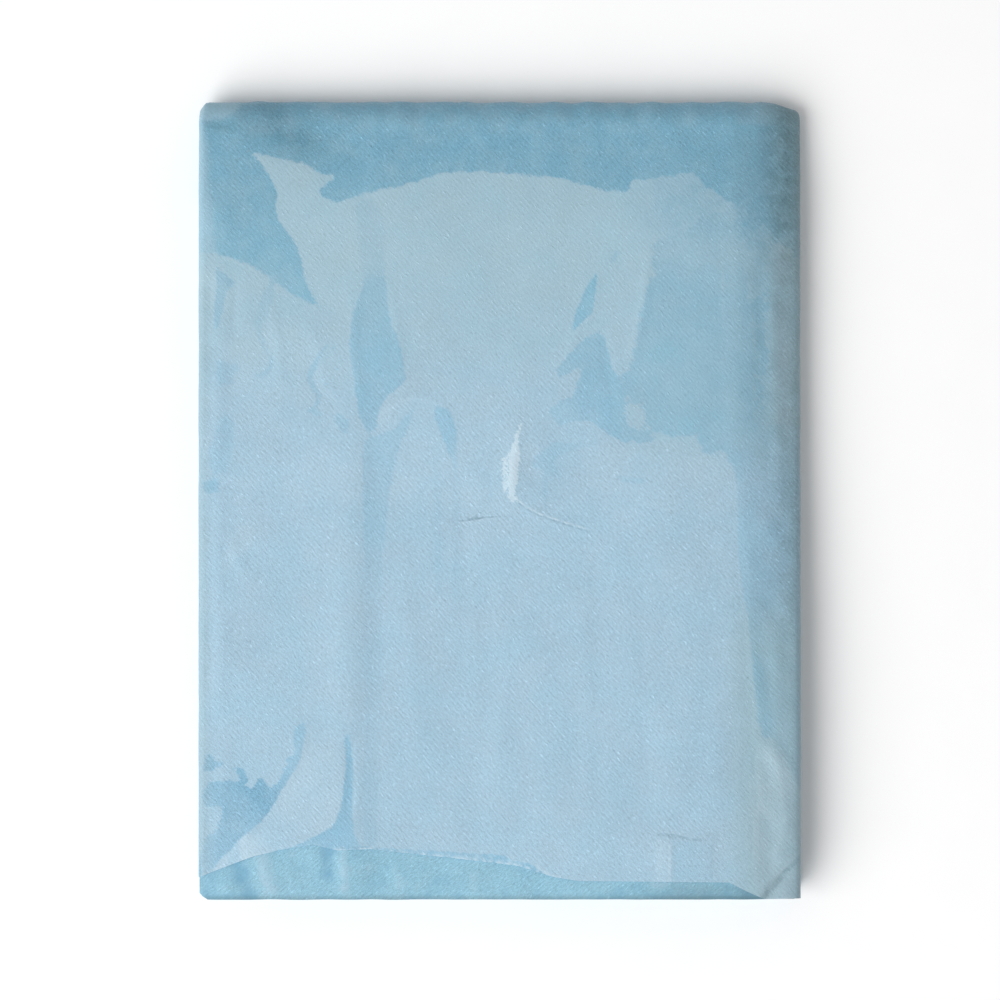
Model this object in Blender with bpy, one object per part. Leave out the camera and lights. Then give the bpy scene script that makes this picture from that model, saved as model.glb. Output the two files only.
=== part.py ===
# A disposable surgical gown, folded in thirds to a long strip and then twice across.
# Metres, +Z up. It lies on its folded underside: the cut hem of the top ply and the
# first cross fold are at -Y, and the second cross fold wraps the whole stack at +Y.
# Folded like this the gown is four strips thick, and each strip is a flattened tube.

import math
from collections import namedtuple

import bmesh
import bpy
from mathutils import Vector

# Folded size
width = 0.240
length = 0.318
stackHeight = 0.0215

# Cloth
wall = 0.0012
gap = 0.0003
stripCount = 4
stripHeight = stackHeight / stripCount
cover = wall + gap
sharpAngle = math.radians(40)

# Side folds of one strip, as half circles
noseRadius = stripHeight / 2
noseStart = width / 2 - noseRadius
noseCurl = math.radians(160)
endCurl = math.radians(95)
noseSteps = 5

# Cross folds
backReach = 0.0105
backFoldY = length / 2 - backReach
backFoldSteps = 10
frontHalf = 0.0054
frontFoldY = -length / 2 + frontHalf
frontFoldSteps = 8
frontFoldTurn = math.radians(160)
frontSlide = 0.012
frontSlideStart = 0.060

# Corner of the +Y fold at the right, drawn in
cornerStart = 0.107
cornerTrim = 0.0032

# The top ply over the layers' edge at the right
fallStart = 0.092
fallDepthBack = 0.0095
fallDepthFront = 0.0040
fallEaseFront = -0.100
fallEaseBack = 0.060
fallPower = 1.8

# Softer falls at the other edges
leftFall = 0.0006
leftFallStart = -0.110
backFall = 0.0036
backFallStart = 0.108
frontFall = 0.0008
frontFallStart = -0.134

# The left side stands higher in the lower half
riseX = -0.0535
riseHalfWidth = 0.006
riseHeight = 0.0009
riseStartY = 0.010
riseEndY = 0.060

# End of a waist tie under the hem
tieLeft = 0.0623
tieRight = 0.0837
tieFrontY = -0.1500
tieBackY = -0.1338
tieThickness = 0.0010
tieMargin = 0.0005
tieRamp = 0.0018
tieLift = tieThickness + gap

# Back panel, which shows below the hem
backPanelEndY = -0.1120
backPanelFlare = 0.0022
flareRow = -0.1545
edgeInset = 0.0002

# Middle of the hidden layers, from which their edges reach outward
coreLeft = -0.096
coreRight = 0.095
coreFront = -0.145
sideNodes = (0.008, 0.016)
frontNodes = (0.004, 0.009)
slitReach = 0.005
slitHalf = 0.0001
edgeSteps = 4
hangingCount = edgeSteps + 5
nosePocket = noseRadius * 2 - cover
foldClearance = 0.0002
cornerSteps = 4
cornerPower = {
    ("left", "front"): 0.5,
    ("right", "front"): 1.2,
    ("left", "back"): 0.8,
    ("right", "back"): 0.8,
}

Place = namedtuple("Place", "x y")
Mound = namedtuple("Mound", "x y halfLong halfWide turn lift")
Strip = namedtuple("Strip", "name left right front leftRound rightRound frontRound")

# Cut edge of the top ply, from left to right
hemLine = [
    Place(-0.1200, -0.1500),
    Place(-0.1120, -0.1468),
    Place(-0.0980, -0.1415),
    Place(-0.0860, -0.1388),
    Place(-0.0740, -0.1368),
    Place(-0.0650, -0.1392),
    Place(-0.0520, -0.1386),
    Place(-0.0200, -0.1421),
    Place(0.0070, -0.1453),
    Place(0.0210, -0.1497),
    Place(0.0310, -0.1507),
    Place(0.0910, -0.1512),
    Place(0.0980, -0.1550),
    Place(0.1050, -0.1586),
    Place(0.1200, -0.1586),
]

# Dents in the whole stack, and places where only the top ply stands off
dents = [
    Mound(-0.088, 0.146, 0.024, 0.009, -30, -0.0016),
    Mound(0.030, 0.062, 0.060, 0.040, 10, -0.0005),
    Mound(-0.020, -0.090, 0.050, 0.020, 80, -0.0004),
]
puffs = [
    Mound(-0.083, -0.120, 0.027, 0.009, 50, 0.0009),
    Mound(0.006, 0.016, 0.022, 0.012, 85, 0.0005),
]

# How far each hidden strip reaches at the sides, and how rounded its edge is
strips = [
    Strip("outer top", 0.1183, 0.1183, 0.1580, 0.00125, 0.00125, 0.0007),
    Strip("inner top", 0.1176, 0.1040, 0.1555, 0.0024, 0.0022, 0.0017),
    Strip("inner bottom", 0.1186, 0.1110, 0.1575, 0.0023, 0.0023, 0.0039),
    Strip("outer bottom", 0.1184, 0.1184, 0.1575, 0.00125, 0.00125, 0.0039),
]

# Rows and columns that every ply shares, so that neighbours never cross
gridStep = 0.0125
keyColumns = [
    -noseStart, coreLeft - sideNodes[1], coreLeft - sideNodes[0], coreLeft,
    riseX - riseHalfWidth, riseX, riseX + riseHalfWidth, 0.0, tieLeft - tieRamp,
    tieLeft - tieMargin, tieRight + tieMargin, tieRight + tieRamp, coreRight,
    coreRight + sideNodes[0], coreRight + sideNodes[1], noseStart,
]
keyRows = [
    tieBackY + tieMargin, tieBackY + tieRamp, backPanelEndY, backPanelEndY + 4 * cover,
    riseStartY, riseEndY, backFallStart, backFoldY,
]
underRows = [0.110, 0.055, 0.0, -0.055, -0.110]


def filled(places):
    # Even steps of at most gridStep between the key places
    result = places[:1]
    for start, end in zip(places, places[1:]):
        count = math.ceil((end - start) / gridStep)
        result += [start + (end - start) * step / count for step in range(1, count)] + [end]
    return result


columns = filled(keyColumns)
rows = filled(keyRows)


def clearScene():
    for old in list(bpy.data.objects):
        bpy.data.objects.remove(old, do_unlink=True)


def clothMaterial(name, colour, roughness):
    material = bpy.data.materials.new(name)
    material.use_nodes = True
    shader = material.node_tree.nodes["Principled BSDF"]
    shader.inputs["Base Color"].default_value = (*colour, 1.0)
    shader.inputs["Roughness"].default_value = roughness
    shader.inputs["Metallic"].default_value = 0.0
    return material


def ease(value, start, end):
    # 0 before start, 1 after end, smooth between them
    part = min(max((value - start) / (end - start), 0.0), 1.0)
    return part * part * (3 - 2 * part)


def hemY(x):
    for left, right in zip(hemLine, hemLine[1:]):
        if x <= right.x:
            part = max((x - left.x) / (right.x - left.x), 0.0)
            return left.y + part * (right.y - left.y)
    return hemLine[-1].y


def mounds(table, x, y):
    total = 0.0
    for mound in table:
        turn = math.radians(mound.turn)
        along = (x - mound.x) * math.cos(turn) + (y - mound.y) * math.sin(turn)
        across = (y - mound.y) * math.cos(turn) - (x - mound.x) * math.sin(turn)
        total += mound.lift * math.exp(
            -((along / mound.halfLong) ** 2) - (across / mound.halfWide) ** 2
        )
    return total


def bed(x, y):
    # Height of the stack's top face, before the top ply's own folds
    z = stackHeight + mounds(dents, x, y)
    z += riseHeight * (1 - ease(x, riseX - riseHalfWidth, riseX + riseHalfWidth)) * (
        1 - ease(y, riseStartY, riseEndY)
    )
    if x > fallStart:
        depth = fallDepthFront
        depth += (fallDepthBack - fallDepthFront) * ease(y, fallEaseFront, fallEaseBack)
        z -= depth * ((x - fallStart) / (width / 2 - fallStart)) ** fallPower
    if x < leftFallStart:
        z -= leftFall * (leftFallStart - x) / (width / 2 + leftFallStart)
    z -= backFall * ease(y, backFallStart, backFoldY + backReach)
    if y < frontFallStart:
        z -= frontFall * (frontFallStart - y) / (length / 2 + frontFallStart)
    return z


def puff(x, y):
    lift = mounds(puffs, x, y)
    margin = (tieMargin + tieRamp) / 2
    if tieLeft - margin < x < tieRight + margin and y < tieBackY + margin:
        lift += tieLift
    return lift


def foldReach(x):
    # The +Y fold reaches less far at the right corner
    return backReach - cornerTrim * ease(x, cornerStart, width / 2)


def addQuad(mesh, corners):
    # The diagonal always starts at the corner nearest -X and -Y, so that stacked plies
    # bend along the same lines
    first = min(range(4), key=lambda i: corners[i].co.x + corners[i].co.y)
    a, b, c, d = (corners[(first + i) % 4] for i in range(4))
    for face in ((a, b, c), (a, c, d)):
        if len(set(face)) == 3:
            mesh.faces.new(face)


def addGrid(mesh, grid):
    for low, high in zip(grid, grid[1:]):
        for i in range(len(low) - 1):
            addQuad(mesh, (low[i], low[i + 1], high[i + 1], high[i]))


def makeObject(name, mesh, material):
    bmesh.ops.recalc_face_normals(mesh, faces=mesh.faces)
    data = bpy.data.meshes.new(name)
    mesh.to_mesh(data)
    mesh.free()
    data.shade_smooth()
    data.set_sharp_from_angle(angle=sharpAngle)
    data.materials.append(material)
    made = bpy.data.objects.new(name, data)
    bpy.context.collection.objects.link(made)
    return made


def makeWall(name, outer, inner, material):
    # A closed wall between two grids of points
    mesh = bmesh.new()
    out = [[mesh.verts.new(point) for point in row] for row in outer]
    back = [[mesh.verts.new(point) for point in row] for row in inner]
    addGrid(mesh, out)
    addGrid(mesh, [row[::-1] for row in back])
    addGrid(mesh, [back[0], out[0]])
    addGrid(mesh, [out[-1], back[-1]])
    addGrid(mesh, [[row[0] for row in out], [row[0] for row in back]])
    addGrid(mesh, [[row[-1] for row in back], [row[-1] for row in out]])
    return makeObject(name, mesh, material)


def panelSection(curl, depth):
    # (x, depth) across the wall at this depth: left nose, flat, right nose
    radius = noseRadius - depth
    nose = []
    for step in range(1, noseSteps + 1):
        angle = curl * step / noseSteps
        nose.append((noseStart + radius * math.sin(angle), noseRadius - radius * math.cos(angle)))
    flat = [(x, depth) for x in columns]
    return [(-x, d) for x, d in nose[::-1]] + flat + nose


def topPoint(x, y, depth):
    return Vector((x, y, bed(x, y) + puff(x, y) - depth))


def hemPoint(x, depth):
    return topPoint(x, hemY(x), depth)


def backFoldPoint(x, turn, depth):
    half = bed(x, backFoldY) / 2
    y = backFoldY + (foldReach(x) - depth) * math.sin(turn)
    return Vector((x, y, half + (half - depth) * math.cos(turn)))


def underPoint(x, y, depth):
    return Vector((x, y, depth))


def frontFoldPoint(x, turn, depth):
    slide = frontSlide * ease(turn, 0, math.pi)
    if x > frontSlideStart:
        x -= slide * (x - frontSlideStart) / (width / 2 - frontSlideStart)
    y = frontFoldY - (frontHalf - depth) * math.sin(turn)
    return Vector((x, y, frontHalf - (frontHalf - depth) * math.cos(turn)))


def panelFace(depth):
    full = panelSection(noseCurl, depth)
    face = [[hemPoint(x, d) for x, d in full]]
    face += [[topPoint(x, y, d) for x, d in full] for y in rows]
    for step in range(1, backFoldSteps + 1):
        turn = math.pi * step / backFoldSteps
        face.append([backFoldPoint(x, turn, d) for x, d in full])
    face += [[underPoint(x, y, d) for x, d in full] for y in underRows]
    for step in range(frontFoldSteps + 1):
        part = step / frontFoldSteps
        section = panelSection(noseCurl + (endCurl - noseCurl) * part, depth)
        face.append([frontFoldPoint(x, frontFoldTurn * part, d) for x, d in section])
    return face


def makeFrontPanel(material):
    return makeWall("front_panel", panelFace(0.0), panelFace(wall), material)


def makeBackPanel(material):
    # Left of the hem its free end is a little wider than the part inside the top strip
    reach = [-length / 2, flareRow, coreFront] + rows[: rows.index(backPanelEndY) + 1]
    faces = []
    for depth in (cover, cover + wall):
        face = []
        for y in reach:
            flare = backPanelFlare * (1 - ease(y, -length / 2, coreFront))
            edge = [edgeInset - noseStart - flare] + columns[1:-1] + [noseStart - edgeInset]
            face.append([Vector((x, y, bed(x, y) - depth)) for x in edge])
        faces.append(face)
    return makeWall("back_panel", faces[0], faces[1], material)


def makeTieEnd(material):
    faces = []
    for height in (gap + tieThickness, gap):
        faces.append(
            [
                [Vector((x, y, bed(x, y) - cover + height)) for x in (tieLeft, tieRight)]
                for y in (tieFrontY, tieBackY)
            ]
        )
    return makeWall("tie_end", faces[0], faces[1], material)


def nose(reach, rounding, top, bottom):
    # Points round one strip's edge, from its top to its bottom
    middle, half = (top + bottom) / 2, (top - bottom) / 2
    angles = (math.pi / 2 - math.pi * step / edgeSteps for step in range(edgeSteps + 1))
    return [
        (reach - rounding + rounding * math.cos(angle), middle + half * math.sin(angle))
        for angle in angles
    ]


def coverDepth(y):
    # The hidden layers start under the back panel at the hem, else under the front panel
    return 2 * cover if y <= backPanelEndY else cover


# Each profile below lists (outward from the middle block, level) down the stack's edge.
# The level of the first hangingCount points is measured from the top face, which they
# hang from, and the level of the others from the ground.


def sideProfile(side, y):
    start = -coreLeft if side == "left" else coreRight
    outward = -1 if side == "left" else 1
    edges = [(getattr(strip, side) - start, getattr(strip, side + "Round")) for strip in strips]
    first, second = sideNodes
    top, middle = coverDepth(y), stackHeight / 2
    profile = [(first, -top), (second, -top)]
    profile += nose(*edges[0], -top, -nosePocket)
    profile += [(second, -nosePocket), (slitReach, -stripHeight + gap)]
    over = bed(outward * (start + edges[1][0] - edges[1][1]), y) - nosePocket - 4 * gap
    profile += nose(*edges[1], min(over, middle + stripHeight), middle + slitHalf)
    profile += [(slitReach, middle)]
    profile += nose(*edges[2], middle - slitHalf, stripHeight + gap)
    profile += [(slitReach, stripHeight), (second, nosePocket + gap)]
    profile += nose(*edges[3], nosePocket, cover)
    return profile


def frontProfile(x):
    # The cut ends above, and the rounded inside of the first cross fold below
    first, second = frontNodes
    outer, inner = strips[0], strips[1]
    profile = [(first, -2 * cover), (second, -2 * cover)]
    profile += nose(outer.front + coreFront, outer.frontRound, -2 * cover, -stripHeight)
    profile += [(second, -stripHeight), (first, -stripHeight - gap)]
    top = bed(x, -length / 2) - stripHeight - 2 * gap
    profile += nose(inner.front + coreFront, inner.frontRound, top, 2 * frontHalf + gap)
    profile += [(first, 2 * frontHalf - gap)]
    radius = frontHalf - cover
    foldSteps = 2 * edgeSteps + 3
    for step in range(foldSteps + 1):
        angle = math.pi / 2 - math.pi * step / foldSteps
        reach = coreFront - frontFoldY + radius * math.cos(angle)
        profile.append((reach, frontHalf + radius * math.sin(angle)))
    return profile


def backProfile(x):
    # The rounded inside of the second cross fold; all its levels are from the ground
    half = bed(x, backFoldY) / 2
    inset = cover + foldClearance
    count = len(sideProfile("left", 0.0))
    profile = []
    for step in range(1, count + 1):
        angle = math.pi / 2 - math.pi * step / (count + 1)
        reach = (foldReach(x) - inset) * math.cos(angle)
        profile.append((reach, half + (half - inset) * math.sin(angle)))
    return profile


def edgePoint(x, y, index, level):
    return Vector((x, y, level + (bed(x, y) if index < hangingCount else 0.0)))


def cornerShares(share, power):
    # share runs from 0 at the long side to 1 at the end: how much of each side's reach
    # the corner has there, and how far it has turned into the end's profile
    angle = share * math.pi / 2
    return math.cos(angle) ** power, math.sin(angle) ** power, math.sin(angle) ** 2


def frontCorner(x, side, share):
    outward = -1 if side == "left" else 1
    shareX, shareY, blend = cornerShares(share, cornerPower[side, "front"])
    points = []
    pairs = zip(sideProfile(side, coreFront), frontProfile(x))
    for index, ((e, level), (f, frontLevel)) in enumerate(pairs):
        place = (x + outward * shareX * e, coreFront - shareY * f)
        points.append(edgePoint(*place, index, level + blend * (frontLevel - level)))
    return points


def backCorner(x, side, share):
    # Here every point also stays inside the second cross fold
    outward = -1 if side == "left" else 1
    shareX, shareY, blend = cornerShares(share, cornerPower[side, "back"])
    points = []
    for index, (e, level) in enumerate(sideProfile(side, backFoldY)):
        farX = x + outward * shareX * e
        f, foldZ = backProfile(farX)[index]
        sideZ = edgePoint(farX, backFoldY, index, level).z
        half = bed(farX, backFoldY) / 2
        inset = cover + foldClearance
        room = (half - inset) * math.sqrt(1 - (shareY * f / (foldReach(farX) - inset)) ** 2)
        z = sideZ + blend * (foldZ - sideZ)
        z = min(max(z, half - room), half + room)
        points.append(Vector((farX, backFoldY + shareY * f, z)))
    return points


def edgeStations(innerColumns, innerRows):
    # Anticlockwise round the middle block from its -X, -Y corner: the place on the
    # block, and the points outward from it
    left, right = innerColumns[0], innerColumns[-1]
    shares = [step / cornerSteps for step in range(1, cornerSteps)]

    def front(x):
        points = enumerate(frontProfile(x))
        return x, coreFront, [edgePoint(x, coreFront - e, i, z) for i, (e, z) in points]

    def back(x):
        return x, backFoldY, [Vector((x, backFoldY + e, z)) for e, z in backProfile(x)]

    def flank(side, y):
        x, outward = (left, -1) if side == "left" else (right, 1)
        points = enumerate(sideProfile(side, y))
        return x, y, [edgePoint(x + outward * e, y, i, z) for i, (e, z) in points]

    stations = [front(x) for x in innerColumns]
    stations += [(right, coreFront, frontCorner(right, "right", s)) for s in shares[::-1]]
    stations += [flank("right", y) for y in innerRows]
    stations += [(right, backFoldY, backCorner(right, "right", s)) for s in shares]
    stations += [back(x) for x in reversed(innerColumns)]
    stations += [(left, backFoldY, backCorner(left, "left", s)) for s in shares[::-1]]
    stations += [flank("left", y) for y in reversed(innerRows)]
    stations += [(left, coreFront, frontCorner(left, "left", s)) for s in shares]
    return stations


def makeFoldedLayers(material):
    # One rounded block whose edges part into the four strips of the folded gown
    innerColumns = [x for x in columns if coreLeft <= x <= coreRight]
    innerRows = [coreFront] + rows
    mesh = bmesh.new()
    top, bottom = {}, {}
    for y in innerRows:
        for x in innerColumns:
            top[x, y] = mesh.verts.new((x, y, bed(x, y) - coverDepth(y)))
            bottom[x, y] = mesh.verts.new((x, y, cover))
    addGrid(mesh, [[top[x, y] for x in innerColumns] for y in innerRows])
    addGrid(mesh, [[bottom[x, y] for x in reversed(innerColumns)] for y in innerRows])
    loops = []
    for x, y, points in edgeStations(innerColumns, innerRows):
        loops.append([top[x, y]] + [mesh.verts.new(point) for point in points] + [bottom[x, y]])
    for here, after in zip(loops, loops[1:] + loops[:1]):
        addGrid(mesh, [here[::-1], after[::-1]])
    return makeObject("folded_layers", mesh, material)


def main():
    clearScene()
    face = clothMaterial("outer_cloth", (0.36, 0.52, 0.60), 0.55)
    reverse = clothMaterial("inner_cloth", (0.30, 0.52, 0.64), 0.60)
    edges = clothMaterial("layered_cloth", (0.33, 0.53, 0.63), 0.65)
    makeFrontPanel(face)
    makeBackPanel(reverse)
    makeTieEnd(reverse)
    makeFoldedLayers(edges)


main()
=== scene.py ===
import math

import bpy
import numpy as np
from mathutils import Matrix


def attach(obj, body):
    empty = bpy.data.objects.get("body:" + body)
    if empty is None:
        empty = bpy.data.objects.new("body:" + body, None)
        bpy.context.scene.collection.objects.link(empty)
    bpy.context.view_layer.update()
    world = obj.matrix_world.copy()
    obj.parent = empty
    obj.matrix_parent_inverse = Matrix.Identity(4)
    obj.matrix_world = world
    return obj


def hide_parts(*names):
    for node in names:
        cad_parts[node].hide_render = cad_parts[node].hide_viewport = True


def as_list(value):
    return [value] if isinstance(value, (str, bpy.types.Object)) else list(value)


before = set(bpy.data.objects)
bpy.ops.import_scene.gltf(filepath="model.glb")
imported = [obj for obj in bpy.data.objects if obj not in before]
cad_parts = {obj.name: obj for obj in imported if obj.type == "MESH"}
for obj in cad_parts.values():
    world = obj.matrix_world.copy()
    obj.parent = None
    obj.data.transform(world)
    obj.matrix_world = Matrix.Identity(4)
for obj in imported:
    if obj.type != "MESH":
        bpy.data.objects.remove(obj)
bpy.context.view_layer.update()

mm = 0.001

# A disposable gown folded in thirds and then twice across. The shapes are worked out in
# millimetres and put into the meshes in metres. "Place" below is a spot on the cloth.

stack = {  # mostly the same values as in the solids
    "halfWidth": 120.0,
    "halfLength": 159.0,
    "height": 21.5,
    "ply": 0.30,
    "noseRadius": 2.6875,
    "noseCurl": math.radians(160),
    "endCurl": math.radians(95),
    "strip": 5.375,
    "backReach": 10.5,
    "frontHalf": 5.4,
    "frontFoldTurn": math.radians(160),
    "frontSlide": 12.0,
    "cornerTrim": 3.2,
    "fallStart": 92.0,
    "fallBack": 9.5,
    "fallFront": 4.0,
    "fallPower": 1.8,
    "backFall": 3.6,
    "nearFall": 0.8,
    "leftFall": 0.6,
    "rise": 0.9,
}
noseStart = stack["halfWidth"] - stack["noseRadius"]
backFoldY = stack["halfLength"] - stack["backReach"]
frontFoldY = stack["frontHalf"] - stack["halfLength"]

# x, y, half length, half width, turn in degrees, lift
dents = {
    "top left": (-86, 150, 23, 9.5, -24, -1.1),
    "upper middle": (30, 62, 60, 40, 10, -0.5),
    "lower middle": (-20, -90, 50, 20, 80, -0.4),
}
puffs = {
    "wedge": (-83, -120, 27, 9, 50, 0.9),
    "beside the pinch": (6, 16, 22, 12, 85, 0.5),
    "tie": (73, -142.5, 11.2, 9.0, 0, 0.3),
}
darkSpots = {
    "above the wedge": (-95, -116, 11, 7, -50, 1.0),
    "wedge tip": (-105.8, -140.8, 6.0, 3.4, 50, 0.65),
    "left of the tip": (-112.0, -137.0, 11.0, 4.2, 68, 0.5),
}
hemLine = [
    (-120.0, -150.0), (-112.0, -146.8), (-98.0, -141.5), (-86.0, -138.8), (-74.0, -136.8),
    (-65.0, -139.2), (-52.0, -138.6), (-20.0, -142.1), (7.0, -145.3), (21.0, -149.7),
    (31.0, -151.4), (91.0, -152.0), (98.0, -155.6), (105.0, -158.6), (120.0, -158.6),
]


def ease(value, start, end):
    part = np.clip((value - start) / (end - start), 0, 1)
    return part * part * (3 - 2 * part)


def mounds(table, x, y):
    total = np.zeros_like(x)
    for placeX, placeY, halfLong, halfWide, degrees, lift in table.values():
        turn = math.radians(degrees)
        along = (x - placeX) * math.cos(turn) + (y - placeY) * math.sin(turn)
        across = (y - placeY) * math.cos(turn) - (x - placeX) * math.sin(turn)
        total += lift * np.exp(-((along / halfLong) ** 2) - (across / halfWide) ** 2)
    return total


def hemY(x):
    return np.interp(x, [place[0] for place in hemLine], [place[1] for place in hemLine])


def bed(x, y):
    # Height of the stack's top face, which falls away at the right, and less at its ends
    z = stack["height"] + mounds(dents, x, y)
    z += stack["rise"] * (1 - ease(x, -59.5, -47.5)) * (1 - ease(y, 10, 60))
    fall = stack["fallFront"] + (stack["fallBack"] - stack["fallFront"]) * ease(y, -100, 60)
    beyond = np.clip(x - stack["fallStart"], 0, None)
    z -= fall * (beyond / (stack["halfWidth"] - stack["fallStart"])) ** stack["fallPower"]
    z -= stack["leftFall"] * np.clip(-110 - x, 0, None) / 10
    z -= stack["backFall"] * ease(y, 108, 159)
    z -= stack["nearFall"] * np.clip(-134 - y, 0, None) / 25
    return z


def foldReach(x):
    return stack["backReach"] - stack["cornerTrim"] * ease(x, 107, 120)


def ripples(x, y, seed, longest, height, lean=0.0, count=8):
    # Uneven low waves; lean 1 makes them all run along Y
    random = np.random.RandomState(seed)
    total = np.zeros_like(x)
    for step in range(count):
        turn = random.uniform(-1, 1) * math.pi / 2 * (1 - lean)
        wave = longest * random.uniform(0.3, 1)
        swing = (x * math.cos(turn) + y * math.sin(turn)) * 2 * math.pi / wave
        total += np.sin(swing + random.uniform(0, 6.3)) * wave / longest
    return total * height / count


def nearEdge(x, y, a, b):
    # How far along the edge from a to b the nearest point lies, how far off, on which side
    length = math.dist(a, b)
    ux, uy = (b[0] - a[0]) / length, (b[1] - a[1]) / length
    part = np.clip((x - a[0]) * ux + (y - a[1]) * uy, 0, length)
    distance = np.hypot(x - a[0] - part * ux, y - a[1] - part * uy)
    return part, distance, np.sign((x - a[0]) * uy - (y - a[1]) * ux)


def nearLine(x, y, line):
    # Distance to a line, the share of its length there, and the side it lies on
    best = np.full(x.shape, 1e9)
    share, side = np.zeros_like(x), np.zeros_like(x)
    total = sum(math.dist(a, b) for a, b in zip(line, line[1:]))
    done = 0.0
    for a, b in zip(line, line[1:]):
        part, distance, hand = nearEdge(x, y, a, b)
        closer = distance < best
        best = np.where(closer, distance, best)
        share = np.where(closer, (done + part) / total, share)
        side = np.where(closer, hand, side)
        done += math.dist(a, b)
    return best, share, side


def inside(x, y, outline):
    # Distance in from the edge of an outline, below 0 outside it
    best = np.full(x.shape, 1e9)
    odd = np.zeros(x.shape, bool)
    for a, b in zip(outline, outline[1:] + outline[:1]):
        best = np.minimum(best, nearEdge(x, y, a, b)[1])
        if a[1] != b[1]:
            crossing = (a[1] > y) != (b[1] > y)
            odd ^= crossing & (x < (b[0] - a[0]) * (y - a[1]) / (b[1] - a[1]) + a[0])
    return np.where(odd, best, -best)


def alongLine(share, fade):
    # 1 along a line, falling to 0 over these shares of its length at both ends
    return ease(share, -0.01, fade[0]) * ease(1 - share, -0.01, fade[1])


def crease(wide, lift, line, fade=(0.25, 0.25), step=0, reach=6):
    # A soft ridge or trough; a step lifts the left side of its line over the right
    return wide, lift, line, fade, step, reach


def fineLine(wide, tone, line, fade=(0.3, 0.3)):
    return wide, tone, line, fade


def zone(tone, fray, soft, outline, fades=(), calm=None, wide=0):
    # A patch: how strongly it shows, its fray and softness in mm, and its outline, which
    # is a stroke where a width is given. A fade runs from one place to another, where that
    # share of the tone is left. The edge along the calm line is clean.
    return tone, fray, soft, outline, fades, calm, wide


def creaseRelief(table, x, y):
    relief = np.zeros_like(x)
    for wide, lift, line, fade, step, reach in table.values():
        distance, share, side = nearLine(x, y, line)
        strength = alongLine(share, fade)
        profile = np.exp(-((distance / wide) ** 2))
        relief += lift * profile * strength
        if step:
            rise = -side * (1 - profile) * np.exp(-distance / reach) / 2
            relief += step * rise * strength
    return relief


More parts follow.
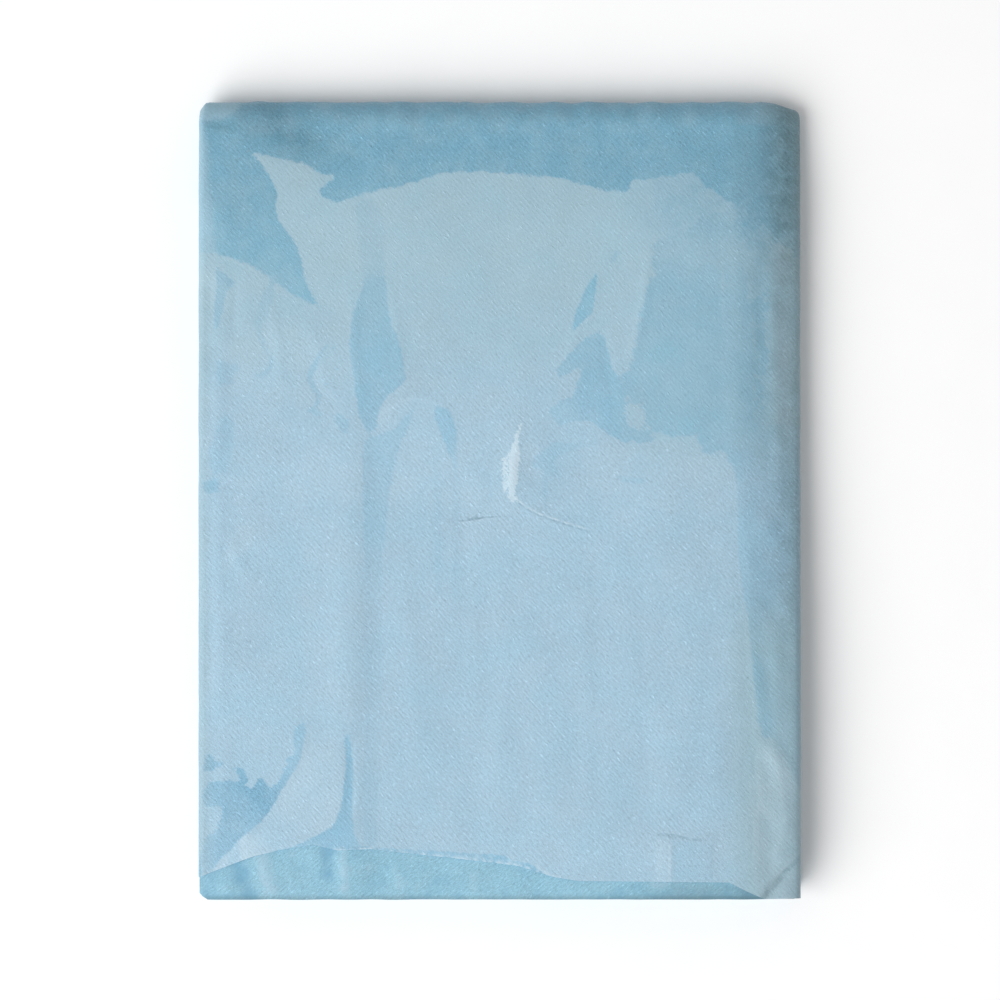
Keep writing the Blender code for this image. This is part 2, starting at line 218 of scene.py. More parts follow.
# The sheet that shows: top face, +Y fold, underside and -Y fold
frontSheet = {
    "name": "front_sheet",
    "node": "front_panel",
    "slot": "outer_cloth",
    "flat": (0.257, 0.650),
    "rests on": ["floor"],
    "nose columns": 9,
    "flat columns": 142,
    "hem rows": [0, 0.4, 0.9, 1.6, 2.5, 3.6, 5.0],
    "top rows": 176,
    "wrap rows": 18,
    "wrap length": math.pi * 9.7,
    "under rows": 62,
    "front rows": 12,
    "notch": 2.2,
    "relief turn": 1.3,  # the top face's relief weakens up to this turn round a side fold
    "tie": (73, 12.4, 10.2, 0.22),  # x, half width outside and inside, how far it shows
    "hem": (4, 0.5, 0.1),  # reach, how far it flattens the relief, and its own lift
}
topCreases = {
    "pinch": crease(1.6, 0.5, [(9, 33), (7.4, 25), (5.6, 18), (4.8, 10), (4.8, 4), (6.4, 0)],
        fade=(0.4, 0.15)),
    "pinch trough": crease(2.6, -0.3, [(13, 22), (12.5, 12), (14, 4)]),
    "pinch left": crease(2.0, -0.22, [(-3, 14), (-4, 5), (-3, -3)]),
    "pinch tail": crease(1.6, 0.2, [(8, -1), (16, -6.4), (26, -9.6), (40, -13)], fade=(0.1, 0.4)),
    "left of middle": crease(5.0, 0.25, [(-62, 10), (-63, -40), (-62, -90), (-63, -130)]),
    "stripe a": crease(3.4, 0.12, [(-38, -20), (-35, -60), (-33, -110), (-34, -138)]),
    "stripe b": crease(2.4, -0.14, [(-16, 22), (-14, -30), (-15, -80)]),
    "stripe c": crease(4.0, 0.14, [(0, -10), (1, -60), (0, -120)]),
    "stripe d": crease(3.0, 0.16, [(33, -30), (35, -80), (34, -140)]),
    "stripe e": crease(3.4, -0.16, [(56, -20), (57, -70), (59, -130)]),
    "right fold": crease(1.6, 0.16, [(97, 10), (95.5, -4), (97.5, -20), (99.5, -48), (101, -69.5),
        (103, -87.5), (102, -119.5), (99.5, -157)], fade=(0.1, 0.5), step=0.4, reach=9),
    "right fall fold": crease(2.6, 0.4, [(108, 118), (110, 90), (109, 55), (111, 20), (109, -20)]),
    "right fall pleat": crease(2.2, -0.3, [(103, 100), (104, 70), (103, 40)]),
    "right low pleat": crease(2.6, 0.3, [(113, -30), (110, -70), (112, -96)]),
    "arch": crease(2.2, 0.2, [(-47, 28), (-43, 36.5), (-34.5, 41), (-25.5, 40), (-19.5, 32),
        (-17, 20)]),
    "ear": crease(2.6, 0.35, [(-92, 160), (-84, 158.5), (-73, 155.5), (-64, 151)], fade=(0.2, 0.5)),
    "ear trough": crease(5.2, -0.6, [(-104, 155), (-94, 153), (-84, 149.8), (-75, 146), (-68, 142)],
        fade=(0.2, 0.3)),
    "ear tuck": crease(1.5, -0.5, [(-118, 150), (-112, 149.8), (-106.5, 148.8)], fade=(0.05, 0.4),
        step=0.5),
    "low corner": crease(1.7, -0.6, [(103, -160), (109, -153.6), (113.8, -147.6), (121, -141)],
        fade=(0.01, 0.01), step=-0.3, reach=8),
    "low fan a": crease(3.0, 0.3, [(107, -94), (112, -112), (114, -128), (110, -146)]),
    "low fan b": crease(2.4, -0.2, [(102, -114), (106, -130), (107, -142), (105, -153)]),
    "left dart": crease(1.6, -0.3, [(-106.5, 92.5), (-105, 79.5), (-106, 61.5)]),
    "left nick": crease(1.2, -0.35, [(-119, 5.5), (-111, 6.5), (-103.5, 7)], fade=(0.05, 0.5)),
    "left curl": crease(2.0, 0.3, [(-109, -10), (-105, -22), (-99, -32)]),
    "left fan a": crease(2.0, 0.25, [(-92, 84), (-88, 62), (-87, 40)]),
    "left fan b": crease(1.7, 0.16, [(-78, 76), (-73, 62), (-70, 50), (-63, 38)]),
    "left fan c": crease(1.6, -0.16, [(-72, 61.5), (-76, 51), (-72, 42), (-60, 35)]),
    "left flank": crease(3.5, 0.3, [(-112, 80), (-113, 30), (-112, -40), (-113, -110)]),
    "wedge right": crease(1.6, -0.45, [(-60, -93.5), (-59.5, -115.5), (-60.5, -129.5)]),
    "wedge left": crease(1.8, 0.5, [(-78, -88), (-78.5, -97.5), (-83.5, -109.5), (-93.5, -122.5),
        (-102, -135.5), (-111, -145)]),
    "wedge foot": crease(1.5, 0.35, [(-112, -146), (-98, -141), (-86, -138), (-74, -134.5),
        (-63, -126)]),
    "finger left": crease(1.4, 0.25, [(-57, 85), (-58, 60), (-55, 36)]),
    "finger right": crease(1.4, 0.25, [(-44, 90), (-40, 62), (-39, 45)]),
    "lens edge": crease(1.4, 0.25, [(39, 92), (37, 76), (30, 66), (25, 52)]),
    "right dart": crease(1.6, -0.25, [(40, 70), (43, 50), (47, 30)]),
    "right patch edge": crease(1.8, 0.3, [(60, 105), (57, 76), (51.5, 50)]),
    "tie left": crease(1.8, 0.18, [(66.4, -134.5), (66.2, -151)], fade=(0.1, 0.01)),
}
underCreases = {
    "long left": crease(3.5, 0.7, [(-70, 130), (-66, 60), (-68, -20), (-72, -120)]),
    "long right": crease(3.0, 0.6, [(58, 140), (62, 70), (60, -10), (64, -90)]),
    "slant a": crease(2.2, 0.6, [(-30, 60), (0, 40), (34, 34)]),
    "slant b": crease(2.4, 0.55, [(-100, -30), (-84, -60), (-78, -96)]),
    "slant c": crease(2.6, 0.6, [(10, -60), (22, -90), (20, -128)]),
    "slant d": crease(2.2, 0.5, [(90, 110), (84, 84), (88, 50)]),
    "pinch": crease(1.6, 0.9, [(-12, -8), (-9, -20), (-11, -34)]),
    "fan": crease(2.2, 0.5, [(-104, 120), (-92, 96), (-90, 70)]),
}


def moveVertices(piece, *points):
    # x, y and z of each vertex in millimetres
    places = (np.stack(points, 1) * mm).astype(np.float32)
    piece.data.vertices.foreach_set("co", places.ravel())
    piece.data.update()


def setClothMap(piece, across, along):
    # The cloth's own flat coordinates in metres, for the embossing to follow
    uvLayer = piece.data.uv_layers.active or piece.data.uv_layers.new(name="UVMap")
    uvLayer.name = "clothMap"
    corners = np.zeros(len(piece.data.loops), np.int32)
    piece.data.loops.foreach_get("vertex_index", corners)
    pairs = np.stack([across[corners], along[corners]], 1) * mm
    uvLayer.data.foreach_set("uv", pairs.astype(np.float32).ravel())


def setValues(piece, name, values):
    layer = piece.data.attributes.new(name, "FLOAT", "POINT")
    layer.data.foreach_set("value", np.asarray(values).astype(np.float32))


def newPiece(name, primitive, **settings):
    # The new piece and the places of its vertices
    bpy.ops.object.select_all(action="DESELECT")
    primitive(**settings)
    piece = bpy.context.active_object
    piece.name = piece.data.name = name
    places = np.zeros(len(piece.data.vertices) * 3, np.float32)
    piece.data.vertices.foreach_get("co", places)
    return piece, places.reshape(-1, 3).astype(float)


def newGrid(name, columns, rows):
    # A flat sheet whose vertices also give their column and row
    piece, places = newPiece(name, bpy.ops.mesh.primitive_grid_add, x_subdivisions=columns,
                             y_subdivisions=rows, size=1)
    return (piece, np.rint((places[:, 0] + 0.5) * columns).astype(int),
            np.rint((places[:, 1] + 0.5) * rows).astype(int))


def thicken(piece, thickness):
    modifier = piece.modifiers.new("ply", "SOLIDIFY")
    modifier.thickness = thickness * mm
    modifier.offset = -1
    modifier.use_even_offset = False
    bpy.ops.object.modifier_apply(modifier=modifier.name)
    bpy.ops.object.shade_smooth_by_angle(angle=math.radians(60))


def topRelief(x, y):
    relief = mounds(puffs, x, y) + creaseRelief(topCreases, x, y)
    relief += ripples(x, y, 3, 70, 0.5) + ripples(x, y, 4, 26, 0.12)
    relief += ripples(x, y, 5, 34, 0.24, 0.8) * ease(y, 20, -60) * ease(x, -60, -30)
    relief += ripples(x, y, 6, 16, 0.55, 0.4) * ease(x, 96, 110)
    relief += ripples(x, y, 7, 14, 0.35) * ease(y, 128, 150)
    relief += ripples(x, y, 8, 18, 0.4, 0.2) * ease(x, -100, -112)
    tieX, outer, inner, lift = frontSheet["tie"]
    relief += lift * (ease(np.abs(x - tieX), outer, inner) * ease(y, -132.4, -135.0))
    reach, flattened, lift = frontSheet["hem"]
    nearHem = np.exp(-np.clip(y - hemY(x), 0, None) / reach)
    return relief * (1 - flattened * nearHem) + lift * nearHem


def makeFrontSheet():
    own = frontSheet
    radius, curl = stack["noseRadius"], stack["noseCurl"]
    noses, flats, hemRows = own["nose columns"], own["flat columns"], own["hem rows"]
    columnCount = 2 * noses + flats
    column = np.arange(columnCount + 1)
    flatX = np.interp(column, [noses, noses + flats], [-noseStart, noseStart])
    bend = np.clip(np.maximum(noses - column, column - noses - flats), 0, None) / noses
    side = np.where(column < columnCount / 2, -1, 1)
    rows = [("hem", extra) for extra in hemRows]
    rows += [(kind, part) for kind in ("top", "wrap", "under", "front")
             for part in np.linspace(0, 1, own[kind + " rows"] + 1)[1:]]

    piece, columnOf, rowOf = newGrid(own["name"], columnCount, len(rows) - 1)
    stage = np.array([kind for kind, part in rows])[rowOf]
    part = np.array([part for kind, part in rows], float)[rowOf]
    wrap, under, front = stage == "wrap", stage == "under", stage == "front"
    flat, bent, sign = flatX[columnOf], bend[columnOf], side[columnOf]
    angle = bent * (curl + (stack["endCurl"] - curl) * np.where(front, part, 0))
    x = flat + sign * radius * np.sin(angle)
    depth = radius * (1 - np.cos(angle))
    across = flat + sign * radius * bent * curl

    # Top face, from the cut hem to the +Y fold
    hem = hemY(x)
    firstRow = hem + hemRows[-1]
    y = np.where(stage == "hem", hem + part, firstRow + (backFoldY - firstRow) * part)
    z = bed(x, y) + topRelief(x, y) * np.cos(np.minimum(angle, own["relief turn"])) - depth
    along = y.copy()

    # The +Y fold, puckered
    atFold = np.full_like(x, backFoldY)
    half = bed(x, atFold) / 2
    pucker = ripples(x, 4 * part, 11, 22, 0.9, 0.9)
    pucker -= 0.35 * ease(np.abs(ripples(x, 10 * part, 12, 60, 1.0, 0.95)), 0.25, 0.0)
    inward = depth - pucker * ease(part, 0, 0.25) * ease(1 - part, 0, 0.2)
    relief = topRelief(x, atFold) * ease(1 - part, 0.4, 1.0)
    turn = np.pi * part
    y = np.where(wrap, backFoldY + (foldReach(x) - inward) * np.sin(turn), y)
    z = np.where(wrap, half + (half - inward) * np.cos(turn) + relief * np.cos(turn), z)
    along = np.where(wrap, backFoldY + own["wrap length"] * part, along)

    # Underside
    underY = backFoldY + (frontFoldY - backFoldY) * part
    lift = creaseRelief(underCreases, x, underY)
    lift += np.clip(ripples(x, underY, 13, 60, 1.4, 0.3), 0, None)
    lift += 0.35 * np.clip(ripples(x, underY, 14, 18, 1.0), 0, None)
    y = np.where(under, underY, y)
    z = np.where(under, depth + lift * ease(part, 0, 0.05) * ease(1 - part, 0, 0.05), z)
    along = np.where(under, backFoldY + own["wrap length"] + (backFoldY - underY), along)

    # The -Y fold, with its corner slid in at the right
    turn = stack["frontFoldTurn"] * part
    slide = stack["frontSlide"] * ease(turn, 0, math.pi)
    pucker = ripples(x, 4 * part, 15, 24, 0.7, 0.9) * ease(part, 0, 0.3)
    room = stack["frontHalf"] - depth + np.clip(pucker, -0.5, 0.25)
    frontY = np.maximum(frontFoldY - room * np.sin(turn), -stack["halfLength"] - 0.1)
    x = np.where(front & (x > 60), x - slide * (x - 60) / 60, x)
    y = np.where(front, frontY, y)
    z = np.where(front, stack["frontHalf"] - room * np.cos(turn), z)
    total = backFoldY + own["wrap length"] + backFoldY - frontFoldY
    along = np.where(front, total + stack["frontHalf"] * turn, along)

    # Side folds aren't quite straight
    sway = ripples(y, z, 16, 60, 0.5, 1.0) - 0.25 + ripples(y, z, 17, 14, 0.2, 1.0)
    x -= sign * np.clip(-sway, 0, 1.2) * bent
    # Small notch where the corner of the +Y fold is tucked at the left
    y -= own["notch"] * ease(-x, 116.5, 119.5) * ease(y, 150, 157)

    moveVertices(piece, x, y, z)
    setClothMap(piece, across, along)
    paintContact(piece, across, np.where(under | front, underY, along), along,
                 under | front, wrap)
    # Painted highlight along the cut hem, where its edge catches the light
    rim = np.exp(-part / (0.7 + 0.7 * ease(x, -20, -6) * ease(-x, -32, -20)))
    rim *= (0.3 + 0.7 * ease(x, -72, -62)) * (1 - 0.85 * ease(x, 10, 30))
    setValues(piece, "cutEdgeHighlight", np.where(stage == "hem", rim, 0))
    thicken(piece, stack["ply"])
    return piece


# Where the top ply is pressed onto the one below, and where it stands off it
pressedZones = {
    "top band": zone(1.0, 0.55, 0.6, [(-124, 190), (-124, 98), (-112.5, 98), (-106, 96), (-99, 93),
        (-92, 89), (-86.5, 84.5), (-79.5, 80.5), (-70.8, 76), (-75, 82), (-77.8, 88), (-79, 95.5),
        (-81.2, 102), (-85.4, 107.5), (-88, 111), (-89.2, 116.5), (-88.5, 122), (-91.5, 128.5),
        (-95.5, 134.5), (-101, 139), (-92.5, 136.8), (-85, 135), (-78, 133.8), (-73.5, 131.3),
        (-69.5, 129.2), (-65.5, 129.8), (-66.2, 127.5), (-70.3, 124.5), (-72, 122.8), (-70, 120),
        (-65.5, 118.4), (-60.5, 119.5), (-55, 121.5), (-49.5, 123), (-41.2, 124.5), (-34, 126.5),
        (-24, 129.8), (-13, 130.6), (0, 130.2), (19.5, 128.5), (31, 126), (42, 123), (49.5, 122),
        (53, 127), (60, 127.5), (71, 129.5), (76, 130.5), (81, 125.5), (88, 120.5), (94, 117),
        (98.5, 117.5), (99.6, 124), (101.5, 134), (101, 146), (103, 158), (102, 190)],
        fades=[((-111.5, 105), (-116, 104.55), 0.33)], calm=[(-101, 139), (-88.5, 122), (-85, 107),
        (-70.8, 76)]),
    "right shoulder": zone(0.6, 1.9, 0.9, [(96, 190), (96, 121), (99, 113), (100.5, 109.5),
        (106.5, 109), (111, 103.5), (117, 98), (135.5, 90), (135.5, 190)]),
    "ear": zone(0.95, 0.4, 1.6, [(-128, 170), (-124, 151), (-117, 150.8), (-111, 151.4), (-107, 153.4),
        (-103.6, 156.5), (-102, 170)]),
    "finger top": zone(0.16, 0.6, 1.0, [(-57.5, 118), (-50, 119), (-46, 112), (-46, 90), (-54, 88)]),
    "finger": zone(0.78, 0.35, 0.5, [(-53.5, 89.5), (-46, 90.5), (-44.8, 80.5), (-43.2, 70),
        (-40.2, 63.2), (-38.4, 55), (-37.3, 48.2), (-40.2, 44.7), (-44.8, 41.2), (-48.4, 36),
        (-49.5, 27), (-52.5, 27), (-55.9, 33), (-58.1, 48), (-59.9, 61), (-58.7, 73.6), (-55.2, 81.7)],
        fades=[((-50, 62), (-50, 92), 0.7)]),
    "stem": zone(0.39, 0.5, 0.8, [(-54, 24), (-50.5, 25.2), (-46.2, 26.8), (-40.8, 28.9), (-37.8, 33.3),
        (-34.3, 36), (-36.2, 30), (-39, 23.5), (-41.8, 14.8), (-44, 4), (-45.1, -8), (-46.5, -24),
        (-46.5, -60), (-47.5, -100), (-49.5, -137), (-54, -136), (-53.5, -80), (-53.5, -30),
        (-54.3, -6), (-54.5, 16)], fades=[((-50, -6), (-50, -40), 0.3)]),
    "arch": zone(0.72, 0.25, 0.35, [(-26, 38), (-20.5, 36.2), (-17.8, 29.5), (-17, 23), (-18.4, 13.8),
        (-20.8, 19.9), (-23.9, 27.9), (-25.8, 32.6)]),
    "lens": zone(1.0, 0.2, 0.3, [(38.4, 90.5), (38.2, 84), (36.8, 74.5), (33.4, 71.5), (28.8, 67),
        (29.8, 74.2), (32.6, 80.8), (35.5, 86.6)]),
    "lens tail": zone(0.35, 0.3, 0.5, [(43.8, 94.5), (45.2, 99.5), (47, 98.5), (46, 94)]),
    "dart arm": zone(0.7, 0.35, 0.5, [(37.5, 66.5), (33, 63.5), (27.3, 57.8), (22.5, 51.5),
        (23.6, 48.2), (29.3, 52), (33.6, 54), (37.5, 58)]),
    "right dart": zone(0.8, 0.75, 0.5, [(39.2, 67.5), (41.9, 63.4), (44, 58.1), (44.8, 52.5),
        (48.4, 47.1), (50.5, 41.8), (49, 35.2), (52, 28.7), (55.8, 22.6), (48.9, 22.6), (42.4, 27.2),
        (35.9, 31.5), (30, 31.4), (24, 29.5), (19, 35.2), (24.1, 39.4), (28.5, 39.8), (30.4, 45.8),
        (32.8, 51.7), (35.5, 60)], fades=[((38, 42), (24, 32), 0.55)]),
    "right field": zone(0.76, 0.9, 1.1, [(59.5, 101), (61.3, 90), (58, 83.6), (56, 75.6), (55.1, 65.7),
        (52, 53.7), (49.6, 47), (54.5, 41), (57.5, 34), (61, 26.2), (69.5, 25.6), (77.8, 25.6),
        (81, 19.2), (88.6, 19), (93, 13.5), (94, 8), (98, 12), (101, 24), (101, 60), (99, 80),
        (96, 100), (93, 110), (90, 114.5), (81, 113.5), (76, 108), (67, 105)],
        fades=[((76, 78), (79, 106), 0.4), ((84, 60), (101, 60), 0.6)]),
    "above the dart gap": zone(0.6, 1.5, 0.8, [(48.2, 50), (51.6, 52.5), (55.5, 46), (57.6, 40.5),
        (55, 38.6), (51.2, 38.4), (50.2, 41.8)]),
    "below the dart gap": zone(0.6, 1.6, 0.8, [(51.4, 28.6), (55, 28), (59.4, 29.5), (61.6, 25.4),
        (56, 21.8), (53.6, 25.6)]),
    "right column": zone(0.5, 0.6, 0.9, [(96, 30), (94.2, 8), (94.8, -24), (95.8, -31.4), (98.4, -46.2),
        (99.9, -61), (101.1, -73.2), (102.5, -88), (105.3, -95), (108.5, -94), (112, -99), (116, -108),
        (122, -118), (135, -124), (135, 26), (112, 30)], fades=[((104, -40), (113, -44), 0.5),
        ((110, -30), (110, 20), 0.4)], calm=[(95, 30), (94.8, -24), (98.4, -46), (101, -73)]),
    "right column tail": zone(1.0, 0.5, 0.8, [(99.9, -61), (101.1, -73.2), (102.5, -88), (105.3, -95),
        (107.4, -93), (105.9, -79.6), (103.6, -66)]),
    "tie body": zone(0.22, 0.5, 0.9, [(69.2, -134.8), (76, -135.6), (84.2, -136.6), (84.2, -152),
        (69.4, -152)], fades=[((72, -144), (84, -144), 0.5)]),
    "right fleck": zone(0.6, 0.4, 0.7, [(98.6, 52.5), (101.2, 53), (100.8, 43), (99, 42.5)]),
    "right upper fleck": zone(0.5, 0.8, 1.0, [(97, 122), (102, 121), (101.5, 113), (98, 114)]),
    "right low flecks": zone(0.7, 2.2, 0.7, [(100.5, 80), (105, 82), (106.5, 66), (104, 38), (101, 36),
        (101.5, 58)]),
    "right edge fleck": zone(0.7, 0.8, 1.2, [(107.5, 119), (111, 119), (112, 103), (108.5, 102)]),
    "left sliver": zone(0.55, 0.4, 0.4, [(-113.2, 94), (-110.2, 90), (-105, 86.4), (-109.2, 82.6),
        (-111.4, 69), (-114, 66.5), (-113.4, 78), (-112.6, 85)]),
    "left stroke": zone(0.26, 0.5, 0.9, [(-90, 88), (-92, 82), (-94, 74), (-96.5, 69)], wide=4.4),
    "left stroke foot": zone(0.36, 0.35, 0.5, [(-97.7, 73), (-96, 68.4), (-94.9, 63.8), (-92.8, 59.5),
        (-91.5, 56)], wide=2.0),
    "left hook": zone(0.3, 0.4, 0.5, [(-98, 49.4), (-93.5, 49.6), (-91, 53), (-90.6, 57)], wide=1.6),
    "left arc": zone(0.46, 0.3, 0.4, [(-68.4, 61.6), (-71.5, 58.1), (-73.7, 53.2), (-75.8, 48.2),
        (-74.2, 44.5), (-71.6, 41.9), (-72.8, 37.6), (-77, 35)], wide=2.3),
    "left arc foot": zone(0.34, 0.4, 0.5, [(-77.5, 36), (-71.5, 34.1), (-67, 34.2)], wide=1.8),
    "left arc spot a": zone(0.4, 0.4, 0.4, [(-66.6, 61), (-65.2, 59.4)], wide=1.6),
    "left arc spot b": zone(0.34, 0.3, 0.4, [(-68, 53.6), (-65, 53), (-63.6, 50.8)], wide=1.0),
    "left arc spot c": zone(0.3, 0.3, 0.4, [(-71, 47.4), (-67.3, 44.7), (-65, 41.6)], wide=0.9),
    "left arc blot": zone(0.42, 0.7, 0.6, [(-65.6, 33.6), (-62.8, 31), (-61.4, 27.4)], wide=4.4),
    "upright a": zone(0.22, 0.5, 0.8, [(18, 13), (18.2, -2.6)], wide=2.2),
    "upright b": zone(0.24, 0.3, 0.5, [(-3.6, 8), (-4, -2.6)], wide=1.0),
    "upright c": zone(0.16, 0.9, 1.2, [(-24, 14), (-25, -12), (-24.5, -38)], wide=3.2),
    "upright d": zone(0.13, 0.5, 0.9, [(-17.6, 22), (-17, -10), (-18.4, -44)], wide=1.8),
    "left blot": zone(0.34, 1.0, 0.9, [(-112.5, 55), (-104.5, 54), (-105.5, 46), (-112.8, 45.5)]),
    "left slope": zone(0.3, 0.9, 1.0, [(-109.3, 34), (-113.6, 26), (-116.2, 16), (-114, 10),
        (-108.7, 10.5), (-105.9, 23.5), (-105.8, 31)]),
    "left nick": zone(0.75, 0.3, 0.35, [(-118.3, 7.4), (-109.1, 8.4), (-112.5, 6.2), (-110.8, 3.6),
        (-115.6, 2.6), (-118, 4.2)]),
    "pinch arc": zone(0.32, 0.7, 0.7, [(12, 15), (16, 18.6), (20.7, 22.4), (32, 23), (41, 23.4),
        (36.3, 21), (31, 20.2), (24.2, 18.4), (21.5, 15), (25, 9.6), (20.7, 8.6), (17.2, 10.8),
        (15.5, 14), (13.2, 13)], fades=[((16, 14), (24, 9), 0.5)]),
    "pinch dash": zone(0.3, 0.4, 0.5, [(46, 9.6), (57.5, 9), (58, 6.6), (48, 7.4)]),
    "low left": zone(0.84, 0.7, 0.45, [(-116.9, -112.7), (-110.3, -111.3), (-104.6, -111.3),
        (-101.7, -113.4), (-99.5, -115.2), (-97.7, -113.4), (-96.2, -110.9), (-93.7, -111.6),
        (-91.5, -114.2), (-88.6, -112.8), (-86.8, -110), (-85.7, -106.6), (-84.3, -104.6),
        (-86.4, -102.6), (-83.6, -102.2), (-81.2, -101), (-82, -94), (-81.8, -90.3), (-79.6, -88.3),
        (-77.4, -89.4), (-77.6, -93.2), (-78.3, -98.2), (-79.8, -104), (-83.7, -110.5), (-88.1, -117.8),
        (-92.4, -125), (-95.7, -128.6), (-99.5, -131.5), (-103.5, -134.6), (-106.7, -138.8),
        (-110.3, -141.7), (-113.6, -146.4), (-115.8, -142.4), (-116.6, -137), (-115.4, -133.4),
        (-113.2, -132.2), (-111.4, -127.9), (-110.3, -122.1), (-113.2, -121), (-117.5, -121.6),
        (-118.7, -117.8)], fades=[((-87, -108), (-82, -102), 0.8), ((-100, -114), (-113, -126), 0.78)],
        calm=[(-78, -94), (-84, -110), (-95.7, -128.6), (-114, -146)]),
    "low left sliver": zone(0.7, 0.4, 0.4, [(-117.2, -100.4), (-115.4, -101), (-112.9, -103.3),
        (-109.6, -104.6), (-109.4, -106), (-112.5, -105.8), (-114.3, -107.2), (-117.6, -108)]),
    "low left tooth": zone(0.8, 0.4, 0.4, [(-106.4, -106.1), (-103.1, -106.3), (-100.1, -109),
        (-99.9, -112.6), (-102.4, -112.6), (-104.2, -109.1)]),
    "low left edge": zone(0.4, 1.2, 1.2, [(-119, -134), (-115, -136), (-114, -147), (-119.5, -149)]),
    "over the hem": zone(0.92, 0.15, 0.3, [(-90.5, -140), (-81.5, -137.4), (-72, -133), (-65.6, -129),
        (-62.5, -119.5), (-61, -103.5), (-61.8, -94), (-59.8, -93), (-58.3, -105.5), (-58.8, -124),
        (-58, -133), (-56, -137.2), (-47.6, -138.3), (-32, -139.2), (-20, -139.8), (-8, -140.4),
        (1.5, -141.3), (5, -143.2), (11.4, -144.4), (17, -147.6), (21.5, -151), (21.5, -156),
        (-90.5, -156)]),
}
liftedZones = {
    "beside the pinch": zone(0.14, 1.0, 1.4, [(30, 24), (48, 21), (56, 20), (66, 24), (78, 23),
        (82, 17), (93, 11), (95, -4), (80, -8), (62, -4), (48, 1), (36, 6)]),
    "tongue": zone(0.12, 0.8, 2.0, [(-99, 137.5), (-70, 127), (-58, 117), (-56, 96), (-60, 70),
        (-70, 79), (-79, 96), (-87, 118)]),
    "wedge": zone(0.45, 0.2, 0.4, [(-77.4, -96), (-74, -87), (-67.5, -84), (-62, -93), (-61.2, -105.5),
        (-62.7, -119.5), (-65.8, -129), (-72, -133.2), (-82, -137.6), (-98, -141.8), (-113, -147.2),
        (-102, -135.5), (-94, -124), (-88, -116), (-80.5, -103)], fades=[((-78, -115), (-68, -84), 0.1),
        ((-78, -118), (-90, -131), 0.25)]),
    "tie strip": zone(0.24, 0.4, 0.8, [(62.4, -134.6), (67.4, -134.4), (67.6, -152), (62.2, -152)]),
    # Paler at the low right corner: painted light that evens out the shade where the side falls away
    "low right": zone(0.42, 1.0, 3.0, [(101.5, -98), (107, -97), (113, -103), (118, -112), (135, -124),
        (135, -165), (101, -165), (100, -130)]),
    "left rim": zone(0.2, 0.8, 1.6, [(-124, 92), (-115.5, 90), (-116.5, 0), (-115.5, -60),
        (-116.5, -140), (-124, -140)]),
    "left curl": zone(0.22, 0.8, 1.0, [(-104, -9), (-97, -11), (-98, -17), (-104, -23), (-110, -31),
        (-113, -29), (-108, -19)]),
    "middle left": zone(0.16, 1.6, 5.0, [(-108, 62), (-84, 70), (-60, 52), (-20, 46), (10, 44),
        (16, 20), (6, -6), (-50, -2), (-104, 0)]),
    "light column": zone(0.12, 0.6, 2.6, [(-78, -8), (-62, -4), (-56.5, -20), (-56, -80), (-58, -90),
        (-76, -86), (-79, -50)]),
}
# Painted highlights where creased or raised cloth shines; along the pinch they also stand for the cloth
# whitened at its crease
glintZones = {
    "pinch": zone(1.0, 0.12, 0.25, [(9.5, 33), (8.5, 29), (7.5, 25), (7.2, 22), (8.0, 18.8), (7.8, 16),
        (7.1, 12), (7.1, 8), (6.1, 4.2), (6.3, 2), (7.8, -0.9), (6.2, -0.4), (4.6, -0.9), (4.4, 1),
        (3.2, 3.4), (3.3, 12), (3.5, 18.4), (4.8, 21.2), (5.4, 23.8), (6.9, 28.5)]),
    "wedge heel": zone(0.45, 0.25, 0.9, [(-103.1, -134.3), (-99.5, -132.5), (-94, -133.4),
        (-91.4, -136.6), (-92.3, -139.8), (-97.3, -142.5), (-102, -144), (-103.6, -139.5)],
        fades=[((-101, -138), (-92, -136), 0.25)]),
    "wedge tip": zone(0.22, 0.2, 0.6, [(-108, -140.6), (-107.6, -143.2), (-108.6, -146), (-113.4, -148),
        (-111.8, -143.3)]),
    "ear": zone(0.3, 0.4, 1.4, [(-124, 170), (-121, 151), (-116, 150.9), (-111, 151.6), (-107, 153.4),
        (-103.8, 156.5), (-102, 170)]),
    "pinch branch": zone(0.9, 0.12, 0.25, [(3.4, 17.6), (1.0, 19.4), (2.2, 16.8), (0.0, 15.6),
        (1.6, 14), (0.6, 12.6), (0.6, 8), (1.0, 4.6), (2.4, 1.6), (4.6, -1.0), (5.6, 0.2), (3.4, 2.2),
        (2.3, 5), (1.9, 8.5), (2.2, 12.5), (3.4, 14.5)]),
}
